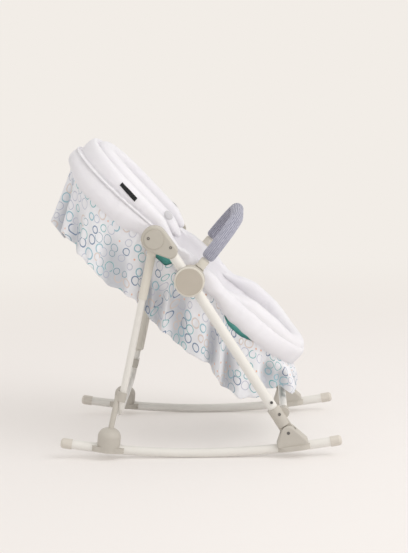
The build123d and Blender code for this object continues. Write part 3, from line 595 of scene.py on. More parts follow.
def lay_on(
    piece: Piece, target: Piece, middle: Array, radius: float, height: float
) -> None:
    """Lay a sheet on a pad: its points go to the nearest of the pad's surface and rise in a low dome.

    Args:
        piece: the sheet.
        target: the pad.
        middle: middle of the dome.
        radius: where the dome comes down to its edge.
        height: of the dome.
    """
    wrap = piece.modifiers.new("wrap", "SHRINKWRAP")
    wrap.target = target
    apply_modifiers(piece)
    outwards = middle - coordinates(target.data).mean(axis=0)
    if coordinates(piece.data, "normal").mean(axis=0) @ outwards < 0:
        piece.data.flip_normals()
    points = coordinates(piece.data)
    off = np.linalg.norm(points - middle, axis=1) / radius
    lift = 0.0004 + height * np.sqrt(np.clip(1 - off**2, 0, 1))
    move_points(piece.data, points + coordinates(piece.data, "normal") * lift[:, None])
    piece.data.shade_smooth()


def joint_position(name: str) -> tuple[float, float, float]:
    """Rest position of a hinge of the record."""
    joints = frame["record"]["behaviour"]["joints"]
    return tuple(next(joint["pos_m"] for joint in joints if joint["name"] == name))


@dataclass(frozen=True)
class SeatFrame:
    """The seat's own plane: u towards the feet, y across, w out of the seat, from between the seat hubs."""

    tilt: float = math.radians(43.0)

    def world(self, u: Array, y: Array, w: Array) -> Array:
        """Points of the seat in the row frame: x = hub + u cos + w sin, z = hub - u sin + w cos.

        Args:
            u, y, w: seat coordinates in metres, broadcast together.

        Returns:
            Points with a last axis of 3.
        """
        hub_x, _, hub_z = joint_position("seat_recline")
        x = hub_x + u * math.cos(self.tilt) + w * math.sin(self.tilt)
        z = hub_z - u * math.sin(self.tilt) + w * math.cos(self.tilt)
        return stacked(x, y, z)

    def local(self, points: Array) -> tuple[Array, Array, Array]:
        """Seat coordinates u, y and w of points in the row frame."""
        hub_x, _, hub_z = joint_position("seat_recline")
        x, z = points[..., 0] - hub_x, points[..., 2] - hub_z
        u = x * math.cos(self.tilt) - z * math.sin(self.tilt)
        return u, points[..., 1], x * math.sin(self.tilt) + z * math.cos(self.tilt)


SEAT = SeatFrame()


@dataclass(frozen=True)
class Oval:
    """Loop of two straights and two half circles in the seat's plane, run from the head by the right side."""

    head: float
    foot: float
    half: float

    @property
    def quarter(self) -> float:
        """Length of a quarter of an end."""
        return self.half * math.pi / 2

    @property
    def straight(self) -> float:
        """Length of one straight side."""
        return self.foot - self.head - 2 * self.half

    @property
    def length(self) -> float:
        """Length of the whole loop."""
        return 4 * self.quarter + 2 * self.straight

    def side_place(self, u: float) -> float:
        """Place along the loop where the right side is at u."""
        return self.quarter + u - self.head - self.half

    def place(self, u: Array, y: Array) -> Array:
        """Place along the loop that is nearest to a point."""
        first, last = self.head + self.half, self.foot - self.half
        turn = np.arctan2(-y, first - np.minimum(u, first)) * self.half
        head = np.where(turn < 0, self.length + turn, turn)
        right = self.quarter + u - first
        left = self.length - right
        foot = self.quarter + self.straight + np.arctan2(np.maximum(u, last) - last, -y) * self.half
        return np.select([u < first, u > last], [head, foot], np.where(y < 0, right, left))

    def at(self, place: Array, out: Array = 0.0) -> tuple[Array, Array]:
        """Points of the loop, or of one set off from it.

        Args:
            place: lengths along the loop from the middle of the head, also negative or past the end.
            out: distance outwards.

        Returns:
            u and y of the points.
        """
        place = np.mod(place, self.length)
        q, side, r = self.quarter, self.straight, self.half
        zones = [place < q, place < q + side, place < 3 * q + side, place < 3 * q + 2 * side]
        turn = np.select(zones, [place, q + 0 * place, place - side, 3 * q + 0 * place], place - 2 * side) / r
        run = np.select(zones, [0 * place, place - q, side + 0 * place, 3 * q + 2 * side - place], 0 * place)
        normal_u, normal_y = -np.cos(turn), -np.sin(turn)
        return self.head + r + run + (r + out) * normal_u, (r + out) * normal_y


def pucker(
    piece: Piece, loop: Oval, seam: float, reach: float, depth: float, pitch: float
) -> None:
    """Draw small creases across a seam: a wave along the loop that fades with the height from the seam.

    Args:
        piece: a finished pad on the seat.
        loop: outline that the seam follows.
        seam: height of the seam over the seat's plane.
        reach: how far the creases run.
        depth: of a crease.
        pitch: distance between creases.
    """
    mesh = piece.data
    normals = coordinates(mesh, "normal")
    points = coordinates(mesh)
    u, y, w = SEAT.local(points)
    place = loop.place(u, y)
    creases = TURN * place / pitch
    phase = creases + 1.8 * np.sin(creases / 6.3) + 1.1 * np.sin(creases / 2.7)
    strength = 0.6 + 0.4 * np.sin(creases / 9.1 + 1.0)
    height = depth * strength * np.sin(phase) * bump_at(w, seam, reach)
    move_points(mesh, points + normals * height[:, None])


def ellipse(angle: Array, width: Array, height: Array, power: float = 0.8) -> tuple[Array, Array]:
    """Superellipse: each axis is its half size times the signed power of cosine or sine.

    Args:
        angle: in radians.
        width, height: half sizes.
        power: 1 for an ellipse and less for a fuller form.

    Returns:
        Offsets outwards and upwards.
    """
    cos, sin = np.cos(angle), np.sin(angle)
    return width * np.sign(cos) * np.abs(cos) ** power, height * np.sign(sin) * np.abs(sin) ** power


def rounded_ends(place: Array, first: float, last: float, cap: float) -> Array:
    """Scale that falls to 0 at both ends of a stretch as a quarter circle of length cap."""
    inside = np.clip(np.minimum(place - first, last - place) / cap, 0, 1)
    return np.sqrt(1 - (1 - inside) ** 2)


@dataclass
class PaddedSeat:
    """Padded cover of the seat frame: rim, liner, wings, head insert and leg bolster."""

    ring: Oval = Oval(-0.388, 0.331, 0.158)
    insert_loop: Oval = Oval(-0.3486, 0.300, 0.0956)
    liner_edge: Oval = Oval(-0.3716, 0.3146, 0.1416)
    liner_floor: Oval = Oval(0.015, 0.145, 0.060)
    rim_reach: float = 0.1825
    leg_room: float = 0.0085
    softness: float = 0.0012
    patch_u: float = -0.133
    patch_radius: float = 0.0125
    channel: float = 0.050
    piping_radius: float = 0.0026
    rows: int = 260
    cols: int = 48

    def section_grid(self, first: float, last: float) -> tuple[Array, Array]:
        """Places along the loop, as a column, and angles round the section, as a row."""
        return np.linspace(first, last, self.rows)[:, None], circle(self.cols)

    def rim(self) -> None:
        """Rim over the frame tube: a full roll, lower along the back and fatter round the feet."""
        place = np.linspace(0, self.ring.length, self.rows, endpoint=False)[:, None]
        angle = circle(self.cols)
        u, _ = self.ring.at(place)
        leg = smooth(0.05, 0.14, u)
        front = smooth(0.22, 0.32, u)
        clasp = smooth(0.078, 0.040, np.abs(u))
        low = self.rim_low(u) - 0.003 * clasp
        top = 0.036 + 0.005 * clasp
        wide = 0.0160 + 0.002 * leg + 0.0055 * clasp - 0.0055 * front
        off_out, off_w = ellipse(angle, wide, (top - low) / 2, 0.8 - 0.3 * clasp)
        belly = 0.003 * (1 - front) * bump_at(off_w, -0.006, 0.018) * smooth(0, 0.4, np.cos(angle))
        w = (top + low) / 2 + off_w
        u, y = self.ring.at(place, off_out + belly - 0.001)
        piece = grid_object("rim_padding", SEAT.world(u, y, w), wrap_rows=True)
        inflate(piece, 3.0, 0.004)
        pucker(piece, self.ring, 0.030, 0.016, 0.0009, 0.023)
        pucker(piece, self.ring, -0.022, 0.020, 0.0012, 0.031)
        self.squeeze(piece)
        finish_piece(piece, "cover_white", "seat", "rim_cover")

    def squeeze(self, piece: Piece) -> None:
        """Press the rim's sides in softly to its reach, and more where the rear legs pass it."""
        points = coordinates(piece.data)
        u, y, _ = SEAT.local(points)
        limit = self.rim_reach - self.leg_room * smooth(-0.205, -0.150, u) * smooth(-0.026, -0.040, u)
        over = (np.abs(y) - limit) / self.softness
        points[:, 1] = np.sign(y) * (np.abs(y) - self.softness * np.logaddexp(0, over))
        move_points(piece.data, points)

    @staticmethod
    def rim_low(u: Array) -> Array:
        """Height of the rim's lower edge: up at the head and the hubs, lower along the back and the legs."""
        back = -0.010 - 0.016 * smooth(-0.385, -0.325, u) + 0.024 * smooth(-0.21, -0.13, u)
        return back - 0.016 * smooth(0.06, 0.13, u)

    @staticmethod
    def wing_top(u: Array) -> Array:
        """Height of the wings: it falls slowly to the bend and fast from there to the hips."""
        return 0.0610 - 0.07 * (u + 0.147) - 0.022 * smooth(-0.150, -0.078, u)

    @staticmethod
    def wing_face(w: Array) -> Array:
        """Distance of the wings' outer face from the middle of the seat, at a height on their sides."""
        return 0.1645 - 0.06 * (w - 0.026)

    def wings(self) -> None:
        """Side wings: a puffed wall round the head whose top falls towards the hips."""
        last = self.ring.side_place(-0.050)
        place, angle = self.section_grid(-last, last)
        u, _ = self.ring.at(place)
        cap = rounded_ends(place, -last, last, 0.05)
        low = 0.026
        tall = (self.wing_top(u) - low) / 2
        head = smooth(0.10, 0.24, np.abs(place))
        wide = 0.011 + 0.0095 * head
        off_out, off_w = ellipse(angle, wide, tall, 0.8)
        w = low + (tall + off_w) * cap
        out = -0.004 - 0.010 * head + off_out * cap - 0.06 * (w - low)
        u, y = self.ring.at(place, out)
        piece = grid_object("wing_padding", SEAT.world(u, y, w))
        inflate(piece, 3.0, 0.004)
        pucker(piece, self.ring, 0.030, 0.018, 0.0010, 0.026)
        finish_piece(piece, "cover_white", "seat", "head_wings")

    def insert(self) -> None:
        """Head insert: a fat roll nested inside the wings and higher, with a soft end on each side."""
        loop = self.insert_loop
        last = loop.side_place(-0.077)
        place, angle = self.section_grid(-last, last)
        u, _ = loop.at(place)
        cap = rounded_ends(place, -last, last, 0.035)
        low = 0.034
        top = 0.0745 - 0.08 * (u + 0.147) - 0.010 * smooth(-0.130, -0.080, u)
        tall = (top - low) / 2
        off_out, off_w = ellipse(angle, 0.0245, tall, 0.85)
        w = low + tall + off_w * cap
        u, y = loop.at(place, off_out * cap)
        piece = grid_object("insert_padding", SEAT.world(u, y, w))
        inflate(piece, 4.0, 0.004)
        pucker(piece, loop, 0.040, 0.020, 0.0010, 0.034)
        self.insert_patches(piece)
        finish_piece(piece, "cover_white", "seat", "head_insert")

    def insert_patches(self, insert: Piece) -> None:
        """Round mesh patches on the insert, one near each end: low domes wrapped on its outer upper side."""
        away = self.patch_radius * column(9)
        turn = circle(40)
        slope = math.radians(40.0) + away * np.sin(turn) / 0.024
        for name, sign in SIDES:
            u = self.patch_u + away * np.cos(turn)
            y = sign * (self.insert_loop.half + 0.026 * np.cos(slope))
            w = 0.055 + 0.026 * np.sin(slope)
            piece = grid_object(f"insert_patch_{name}", SEAT.world(u, y, w))
            middle = SEAT.world(u[0, 0], y[0, 0], w[0, 0])
            lay_on(piece, insert, middle, 0.0145, 0.0018)
            finish_piece(piece, "webbing_grey", "seat")

    def bolster(self) -> None:
        """Leg bolster: a roll on the rim round the feet that rises from nothing beside the hips."""
        first = self.ring.side_place(0.058)
        last = self.ring.length - first
        place, angle = self.section_grid(first, last)
        u, _ = self.ring.at(place)
        cap = rounded_ends(place, first, last, 0.04)
        low = 0.014
        top = 0.024 + 0.034 * smooth(0.060, 0.165, u) - 0.009 * smooth(0.22, 0.31, u)
        tall = (top - low) / 2
        off_out, off_w = ellipse(angle, 0.0225, tall, 0.85)
        w = low + tall + off_w * cap
        u, y = self.ring.at(place, -0.014 - 0.006 * smooth(0.22, 0.32, u) + off_out * cap)
        piece = grid_object("bolster_padding", SEAT.world(u, y, w))
        inflate(piece, 4.0, 0.005)
        pucker(piece, self.ring, 0.022, 0.018, 0.0010, 0.029)
        finish_piece(piece, "cover_white", "seat", "leg_bolster")

    def liner(self) -> None:
        """Liner: a soft dish from the rim down to the seat, with sewn channels across it."""
        share = column(90)
        around = circle(360, 1)
        edge_u, edge_y = self.liner_edge.at(around * self.liner_edge.length)
        floor_u, floor_y = self.liner_floor.at(around * self.liner_floor.length)
        floor_y = floor_y * 100 / 60
        wall = np.clip(share / 0.7, 0, 1)
        down = smooth(0, 1, wall) * 0.35 + 0.65 * wall
        inward = np.clip((share - 0.7) / 0.3, 0, 1)
        u = (edge_u * (1 - down) + floor_u * down) * (1 - inward) + 0.080 * inward
        y = (edge_y * (1 - down) + floor_y * down) * (1 - inward)
        depth = 0.030 - 0.100 * down
        puff = 0.007 * np.abs(np.sin(u * math.pi / self.channel)) ** 0.5 * smooth(0.08, 0.25, share)
        inner = SEAT.world(u, y * 0.93, depth + puff)
        outer = SEAT.world(u, y, depth - 0.010)
        piece = grid_object("liner_padding", np.vstack([inner[::-1], outer]))
        finish_piece(piece, "cover_white", "seat", "seat_liner")

    def piping(self) -> None:
        """Piping: a thin sewn cord along the crease between the wings and the rim."""
        last = self.ring.side_place(-0.045)
        place = np.linspace(-last, last, 240)[:, None]
        angle = circle(10)
        radius = self.piping_radius * rounded_ends(place, -last, last, 0.01)
        u, y = self.ring.at(place, 0.0135 + radius * np.cos(angle))
        piece = grid_object("piping", SEAT.world(u, y, 0.0310 + radius * np.sin(angle)))
        finish_piece(piece, "cover_white", "seat")

    def build(self) -> None:
        """Make every padded piece of the seat."""
        for make in (self.rim, self.liner, self.wings, self.insert, self.bolster, self.piping):
            make()


@dataclass
class Skirt:
    """Printed skirt gathered under the rim and the teal band behind its top edge."""

    top_loop: Oval = Oval(-0.388, 0.335, 0.1675)
    hem_loop: Oval = Oval(-0.340, 0.402, 0.1715)
    hem: float = -0.138
    hem_rise: float = math.tan(math.radians(39.0))
    hem_turn: float = 0.282
    hem_most: float = 0.080
    band_loop: Oval = Oval(-0.3735, 0.3255, 0.1635)
    tuck: float = 0.008
    loose: float = 0.026
    slack: float = 0.017
    gap: float = 0.018
    thickness: float = 0.0008
    band_thickness: float = 0.0012
    lean: float = 0.026
    # Fold depths over which the painted shade in the valleys grows from none to full.
    fold_shade: tuple[float, float] = (0.003, 0.026)
    waves: tuple[tuple[int, float], ...] = (
        (5, 0.0040),
        (11, 0.0095),
        (19, 0.0135),
        (33, 0.0070),
        (52, 0.0030),
    )
    crest: float = 0.0135
    bluntness: float = 0.004
    rows: int = 56
    cols: int = 860
    seed: int = 7

    def top_edge(self, u: Array) -> Array:
        """Height of the top edge: tucked under the rim, but open beside each hub and under the legs."""
        loose = smooth(-0.120, -0.100, u) * smooth(-0.045, -0.065, u)
        slack = smooth(0.100, 0.150, u) * smooth(0.240, 0.170, u)
        gap = bump_at(u, -0.022, 0.010)
        drop = self.loose * loose + self.slack * slack + self.gap * gap
        return PaddedSeat.rim_low(u) + self.tuck - drop

    def folds(self, share: Array, down: Array) -> Array:
        """Depth of the folds: leaning waves that grow to the hem, blunt outside, and fine gathers at the top.

        Args:
            share: place round the loop, from 0 to 1.
            down: place down the skirt, from 0 at its top to 1 at its hem.

        Returns:
            Distance inwards, in metres.
        """
        chance = np.random.default_rng(self.seed)
        hang = share - self.lean * np.sin(TURN * share) * down
        total = 0 * hang
        for count, depth in self.waves:
            phase, skew, lean = chance.uniform(0, TURN, 3)
            drift = np.sin(TURN * hang * 4 + skew) + 0.7 * np.sin(TURN * hang * 7 + lean)
            total = total + depth * np.sin(TURN * count * hang + phase + 0.9 * drift * (0.4 + 0.6 * down))
        gather = 0.0014 * np.sin(TURN * 118 * share + 2 * np.sin(TURN * 5 * share)) * np.exp(-down / 0.22)
        deep = self.bluntness * np.log1p(np.exp((self.crest - total) / self.bluntness))
        hem = 0.0009 * smooth(0.930, 0.945, down)
        return deep * (0.08 + 0.92 * smooth(0, 0.70, down)) + gather - hem

    def skirt(self) -> None:
        """The skirt as one closed band of cloth with a rising hem at the feet, carrying a painted shade share
        for its fold valleys.
        """
        share = circle(self.cols, 1)
        down = column(self.rows)
        inward = self.folds(share, down)
        top_u, top_y = self.top_loop.at(share * self.top_loop.length, -inward)
        hem_u, hem_y = self.hem_loop.at(share * self.hem_loop.length, -inward)
        front = smooth(0.22, 0.34, top_u)
        ease = down * (1 - front) + (1 - (1 - down) ** 2.2) * front
        u = top_u * (1 - ease) + hem_u * ease
        y = top_y * (1 - down) + hem_y * down
        middle_u, _ = self.hem_loop.at(share * self.hem_loop.length)
        rise = np.minimum(np.clip(middle_u - self.hem_turn, 0, 1) * self.hem_rise, self.hem_most)
        wave = 0.006 * np.sin(TURN * 9 * share + 2.6) + 0.004 * np.sin(TURN * 16 * share + 0.5)
        fine = 0.0025 * np.sin(TURN * 41 * share) * np.sin(TURN * 6 * share + 1)
        top = self.top_edge(self.top_loop.at(share * self.top_loop.length)[0])
        w = top + (self.hem + rise + wave + fine - top) * down
        points = SEAT.world(u, y, w)
        ring = np.concatenate([points, points[:, :1]], axis=1)
        steps = np.linalg.norm(np.diff(ring[self.rows // 2], axis=0), axis=-1)
        along = np.concatenate([[0], np.cumsum(steps)])[None, :]
        drops = np.linalg.norm(np.diff(ring, axis=0), axis=-1)
        fallen = np.vstack([0 * drops[:1], np.cumsum(drops, axis=0)])
        uv = stacked(along, fallen)
        piece = grid_object("skirt_cloth", points, uv=uv)
        # Painted shade: a point attribute, darker where the folds go deeper inwards.
        fold_shade = piece.data.attributes.new("fold_shade", "FLOAT", "POINT")
        fold_shade.data.foreach_set("value", smooth(*self.fold_shade, inward).ravel())
        thicken(piece, self.thickness)
        finish_piece(piece, "skirt_print", "seat", "tub_skirt")

    @staticmethod
    def cut(piece: Piece, points: Array) -> tuple[float, float]:
        """Flat size of a band of cloth: its area over its mean depth, and that depth."""
        area = sum(face.area for face in piece.data.polygons)
        deep = float(np.linalg.norm(np.diff(points, axis=0), axis=-1).sum(axis=0).mean())
        return round(area / deep, 3), round(deep, 3)

    def band(self) -> None:
        """Teal band of lining behind the top edge of the skirt, lightly creased."""
        share = circle(500, 1)
        down = column(12)
        loop = self.band_loop
        crease = 0.0012 * np.sin(TURN * 53 * share + 3 * down) * (0.3 + 0.7 * down)
        inside = 0.013 + 0.009 * smooth(-0.22, -0.33, loop.at(share * loop.length)[0])
        u, y = loop.at(share * loop.length, crease - inside * down)
        top = PaddedSeat.rim_low(u) + 0.012
        low = np.minimum(top - 0.020, -0.046)
        points = SEAT.world(u, y, top + (low - top) * down)
        piece = grid_object("lining_cloth", points)
        thicken(piece, self.band_thickness)
        finish_piece(piece, "lining_teal", "seat", "lining_band")

    def build(self) -> None:
        """Make the skirt and its band."""
        self.skirt()
        self.band()


@dataclass
class Harness:
    """Shoulder pads on the backrest, webbing straps and the blank tag on the right wing."""

    pad_start: tuple[float, float] = (-0.1950, -0.0049)
    pad_tip: tuple[float, float] = (-0.0866, -0.0329)
    pad_y: float = 0.048
    pad_width: float = 0.036
    pad_thick: float = 0.0095
    buckle: tuple[float, float] = (0.050, -0.045)
    web: float = 0.020
    crotch_web: float = 0.030
    web_thick: float = 0.0018
    tag_middle: tuple[float, float] = (-0.241, 0.053)
    tag_size: tuple[float, float] = (0.052, 0.0115)
    tag_thick: float = 0.0010

    def ribbon(self, name: str, knots: list, width: float, across: Array) -> Piece:
        """Strap along a smooth path: a flat section with rounded edges carried along a cubic curve.

        Args:
            name: of the piece.
            knots: four control points of the curve, in seat coordinates.
            width: of the strap.
            across: direction of its width, in seat coordinates.

        Returns:
            The piece, closed at both ends.
        """
        t = column(60)
        weights = np.hstack([(1 - t) ** 3, 3 * t * (1 - t) ** 2, 3 * t**2 * (1 - t), t**3])
        path = weights @ np.array(knots)
        run = np.gradient(path, axis=0)
        run /= np.linalg.norm(run, axis=1, keepdims=True)
        side = across - run * (run @ across)[:, None]
        side /= np.linalg.norm(side, axis=1, keepdims=True)
        up = np.cross(run, side)
        angle = np.linspace(0, TURN, 28, endpoint=False)
        wide, high = ellipse(angle, width / 2, self.web_thick / 2, 0.35)
        shut = np.ones(len(path))
        shut[[0, -1]] = 0
        offsets = wide[None, :, None] * side[:, None] + high[None, :, None] * up[:, None]
        u, y, w = np.moveaxis(path[:, None] + offsets * shut[:, None, None], -1, 0)
        return grid_object(name, SEAT.world(u, y, w))

    def pads(self) -> None:
        """Shoulder pads: soft mesh tongues that lie on the backrest."""
        share = column(70)
        cap = rounded_ends(share, 0, 1, 0.13)
        wide, high = ellipse(circle(40), self.pad_width / 2, self.pad_thick / 2, 0.6)
        (u0, w0), (u1, w1) = self.pad_start, self.pad_tip
        lift = 0.003 * np.sin(math.pi * share) + high * (0.35 + 0.65 * cap)
        u = u0 + (u1 - u0) * share + 0.25 * lift
        w = w0 + (w1 - w0) * share + 0.968 * lift
        for name, sign in SIDES:
            y = sign * self.pad_y + wide * (0.55 + 0.45 * cap)
            piece = grid_object(f"shoulder_pad_{name}_mesh", SEAT.world(u, y, w))
            close_ends(piece)
            finish_piece(piece, "pad_grey", "seat", f"shoulder_pad_{name}")

    def straps(self) -> None:
        """Shoulder, waist and crotch straps that meet in the buckle."""
        level = np.array((0.0, 1.0, 0.0))
        lengthwise = np.array((1.0, 0.0, 0.0))
        u1, w1 = self.pad_tip
        u2, w2 = self.buckle
        end = u2 - 0.0236
        for name, sign in SIDES:
            shoulder = [
                (u1 - 0.01, sign * self.pad_y, w1 + 0.002),
                (u1 + 0.04, sign * 0.040, w1 - 0.006),
                (end - 0.04, sign * 0.026, w2 - 0.004),
                (end, sign * 0.0176, w2),
            ]
            piece = self.ribbon(f"shoulder_web_{name}", shoulder, self.web, level)
            finish_piece(piece, "webbing_grey", "seat", f"shoulder_strap_{name}")
            waist = [
                (u2, sign * 0.0224, w2),
                (u2, sign * 0.045, w2 + 0.001),
                (u2 - 0.001, sign * 0.075, w2 - 0.004),
                (u2 - 0.002, sign * 0.0995, w2 - 0.001),
            ]
            piece = self.ribbon(f"waist_web_{name}", waist, self.web, lengthwise)
            finish_piece(piece, "webbing_grey", "seat", f"waist_strap_{name}")
        crotch = [(0.131, 0, -0.0685), (0.108, 0, -0.0695), (0.104, 0, w2 - 0.004), (0.0740, 0, w2)]
        piece = self.ribbon("crotch_web", crotch, self.crotch_web, level)
        finish_piece(piece, "webbing_grey", "seat", "crotch_strap")

    def tag(self) -> None:
        """Blank tag: a small tape sewn on the right wing, laid on its wall."""
        (mid_u, mid_w), (length, width) = self.tag_middle, self.tag_size
        share = np.linspace(-0.5, 0.5, 40)[:, None]
        up = np.linspace(-0.5, 0.5, 14)[None, :]
        u = mid_u + length * share + 0 * up
        w = mid_w + width * up - 0.11 * length * share
        points = SEAT.world(u, -PaddedSeat.wing_face(w) - 0.002, w)
        piece = grid_object("tag_tape", points, wrap_cols=False)
        middle = SEAT.world(mid_u, -PaddedSeat.wing_face(mid_w), mid_w)
        lay_on(piece, bpy.data.objects["wing_padding"], middle, 0.040, 0.0006)
        thicken(piece, self.tag_thick)
        finish_piece(piece, "tag_black", "seat", "side_tag")

    def build(self) -> None:
        """Make the pads, the straps and the tag."""
        self.pads()
        self.straps()
        self.tag()


@dataclass
class BumperBar:
    """Ribbed knit sleeve over the foam of the bumper bar."""

    rise: float = math.radians(50.0)
    half: float = 0.1965
    reach: float = 0.170
    bend: float = 0.105
    start: float = 0.062
    radius: float = SLEEVE_RADIUS
    ribs: int = SLEEVE_RIBS
    rib_height: float = 0.0016

    def path(self, count: int) -> tuple[Array, Array, Array, Array]:
        """Centre line of the arch: up one side, round a bend, across, and down the other side.

        Args:
            count: number of points, evenly spaced.

        Returns:
            Places along the line, distance across, distance from the hub, and the angle of travel.
        """
        leg = self.reach - self.bend - self.start
        arc = self.bend * math.pi / 2
        across = 2 * (self.half - self.bend)
        place = np.linspace(0, 2 * leg + 2 * arc + across, count)
        ends = np.cumsum([leg, arc, across, arc])
        turn = np.clip(place - ends[0], 0, arc) / self.bend + np.clip(place - ends[2], 0, arc) / self.bend
        step = place[1] - place[0]
        heading = (turn[1:] + turn[:-1]) / 2
        y = -self.half + np.concatenate([[0], np.cumsum(np.sin(heading) * step)])
        far = self.start + np.concatenate([[0], np.cumsum(np.cos(heading) * step)])
        return place, y, far, turn

    def sleeve(self) -> None:
        """Sleeve: a ribbed tube along the arch, drawn in at both ends."""
        place, y, far, turn = (line[:, None] for line in self.path(220))
        angle = circle(self.ribs * 8)
        ends = rounded_ends(place, 0, float(place[-1, 0]), 0.010)
        rib = self.rib_height * (np.abs(np.sin(self.ribs * angle / 2)) ** 0.6 - 0.7)
        radius = (self.radius + rib) * (0.7 + 0.3 * ends)
        side = radius * np.cos(angle)
        y_all = y + side * np.cos(turn)
        far_all = far - side * np.sin(turn)
        points = self.world(y_all, far_all, radius * np.sin(angle))
        around = np.linspace(0, TURN * self.radius, self.ribs * 8 + 1)[None, :]
        uv = stacked(place, around)
        piece = grid_object("bar_sleeve_knit", points, uv=uv)
        finish_piece(piece, "sleeve_grey", "bar", "bar_sleeve")

    def world(self, y: Array, far: Array, lift: Array) -> Array:
        """Points of the bar's plane in the row frame: far along its rise and lift square to it."""
        hub_x, _, hub_z = joint_position("bar_swing")
        x = hub_x + far * math.cos(self.rise) - lift * math.sin(self.rise)
        z = hub_z + far * math.sin(self.rise) + lift * math.cos(self.rise)
        return stacked(x, y, z)


@dataclass
class Screws:
    """Recessed screw heads on the hub covers and the leg sockets, the same on both sides."""

    places: tuple[tuple[float, float, float], ...] = (
        (-0.1097, 0.2330, 0.5221),
        (-0.0593, 0.2310, 0.4999),
        (0.1669, 0.2305, 0.1333),
        (0.1849, 0.2305, 0.1049),
    )
    radius: float = 0.0034

    def build(self) -> None:
        """Turn a profile with a rounded head and a six-sided hole about each screw's axis."""
        turn = circle(48)
        hexagon = np.cos(math.pi / 6) / np.cos(np.mod(turn, math.pi / 3) - math.pi / 6)
        reach = np.array((1.0, 1.0, 0.90, 0.62, 0.58, 0.56, 0.0))[:, None] * self.radius
        out = np.array((-0.0020, 0.0002, 0.0009, 0.0010, 0.0008, -0.0014, -0.0014))[:, None]
        flat_sided = np.array((0, 0, 0, 1, 1, 1, 1))[:, None]
        reach = reach * (1 + flat_sided * (hexagon - 1))
        for i, (x, y, z) in enumerate(self.places):
            for name, sign in SIDES:
                grid = stacked(x + reach * np.cos(turn), sign * (y + out), z + reach * np.sin(turn))
                piece = grid_object(f"screw_{i + 1}_{name}", grid)
                finish_piece(piece, "pin_steel", "base")


def background_rays(graph: Graph) -> Socket:
    """Mask of the rays that see a background: from the camera, in a gloss or through glass."""
    rays = graph.add("LightPath")
    glossy = graph.math("MAXIMUM", rays.outputs["Is Glossy Ray"], rays.outputs["Is Transmission Ray"])
    return graph.math("MAXIMUM", rays.outputs["Is Camera Ray"], glossy)


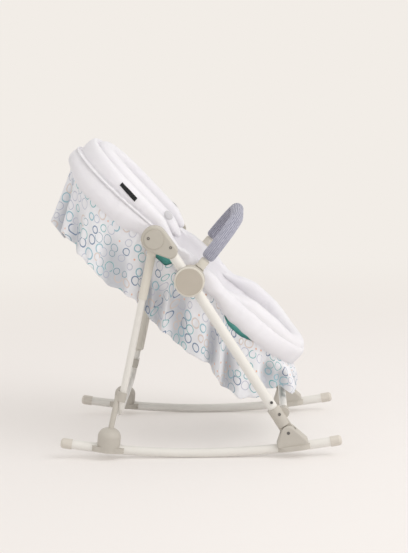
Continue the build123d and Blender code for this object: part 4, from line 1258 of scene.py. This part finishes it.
@dataclass(frozen=True)
class Studio:
    """Camera, lamps, floor and backdrop; a lamp has a name, a place, a size and a power."""

    eye: tuple[float, float, float] = (0.1275, -3.4544, 0.9289)
    yaw: float = 1.985
    pitch: float = -8.756
    roll: float = 1.144
    focal_pixels: float = 1423.4
    long_side: int = 553
    backdrop: Colour = tint(242, 237, 231)
    floor_base: Colour = tint(241, 238, 237)
    world_strength: float = 0.80
    floor_tone: Colour = tint(239, 231, 223)
    floor_glow: float = 0.42
    floor_reach: float = 14.0
    fade: tuple[float, float] = (0.7, 3.2)
    daylight: Colour = (1.0, 0.985, 0.965, 1.0)
    target: tuple[float, float, float] = (0.0, 0.0, 0.35)
    lamps: tuple[tuple[str, tuple[float, float, float], float, float], ...] = (
        ("key", (2.5, -1.4, 2.9), 2.4, 62.0),
        ("fill", (-2.5, -1.9, 1.9), 2.4, 5.0),
    )

    def camera(self) -> None:
        """Camera at the photograph's viewing angle."""
        data = bpy.data.cameras.new("camera")
        data.lens = data.sensor_width * self.focal_pixels / self.long_side
        camera = new_object("camera", data)
        spin = (
            Matrix.Rotation(math.radians(self.yaw), 4, "Z")
            @ Matrix.Rotation(math.radians(self.pitch), 4, "X")
            @ Matrix.Rotation(math.radians(self.roll), 4, "Y")
        )
        upright = Matrix.Rotation(math.radians(90), 4, "X")
        camera.matrix_world = Matrix.Translation(self.eye) @ spin @ upright
        bpy.context.scene.camera = camera

    def floor(self) -> None:
        """Wide pale floor: it keeps the object's soft shadow and glows with distance up to the backdrop."""
        edge = np.linspace(-self.floor_reach, self.floor_reach, 3)
        piece = grid_object("floor", stacked(edge[:, None], edge[None, :], 0.0), wrap_cols=False)
        material, graph, shader = start_material("floor", 0.9, 0.0)
        graph.feed(shader.inputs["Base Color"], self.floor_base)
        place = graph.add("TexCoord")
        away = graph.add("VectorMath", {0: place.outputs["Object"]}, operation="LENGTH")
        near, full = self.fade
        inputs = {"Value": away.outputs["Value"], "From Min": near, "From Max": full}
        far = graph.add("MapRange", inputs, interpolation_type="SMOOTHSTEP").outputs["Result"]
        glow = graph.add("Emission", {"Color": graph.blend(far, self.floor_tone, self.backdrop)})
        strength = graph.math("MULTIPLY_ADD", far, 1 - self.floor_glow, self.floor_glow)
        share = graph.math("MULTIPLY", background_rays(graph), strength)
        mix = graph.add("MixShader", {"Fac": share, 1: shader.outputs[0], 2: glow.outputs[0]})
        output = next(node for node in graph.tree.nodes if node.type == "OUTPUT_MATERIAL")
        graph.feed(output.inputs["Surface"], mix.outputs[0])
        piece.data.materials.append(material)

    def light(self) -> None:
        """Soft world light, a broad key from the upper right and a weak fill."""
        world = bpy.data.worlds.new("studio")
        bpy.context.scene.world = world
        world.use_nodes = True
        graph = Graph(world.node_tree)
        plain = graph.add("Background", {"Color": self.daylight, "Strength": self.world_strength})
        seen = graph.add("Background", {"Color": self.backdrop})
        inputs = {"Fac": background_rays(graph), 1: plain.outputs[0], 2: seen.outputs[0]}
        graph.add("OutputWorld", {"Surface": graph.add("MixShader", inputs).outputs[0]})
        for name, place, size, power in self.lamps:
            lamp = bpy.data.lights.new(name, "AREA")
            lamp.size = size
            lamp.energy = power
            holder = new_object(name, lamp)
            aim = (Vector(self.target) - Vector(place)).to_track_quat("-Z", "Y")
            holder.matrix_world = Matrix.Translation(place) @ aim.to_matrix().to_4x4()

    def build(self) -> None:
        """Set up the view, the light and the floor."""
        bpy.context.scene.view_settings.view_transform = "Standard"
        self.camera()
        self.floor()
        self.light()


def dress_nodes() -> None:
    """Give every CAD node the material of its slot in the record, and the skid caps a paler plastic."""
    for row in frame["record"]["subparts"]:
        node = frame["nodes"][row["node"]]
        finish = "cap_grey" if row["node"].startswith("skid_cap") else row["material_slot"]
        for holder in node.material_slots:
            holder.material = MATERIALS[finish]


def main() -> None:
    """Build the studio and each sub-assembly in order."""
    logging.basicConfig(level=logging.INFO, format="%(name)s: %(message)s")
    Studio().build()
    dress_nodes()
    PaddedSeat().build()
    Skirt().build()
    Harness().build()
    BumperBar().sleeve()
    Screws().build()


if __name__ == "__main__":
    main()
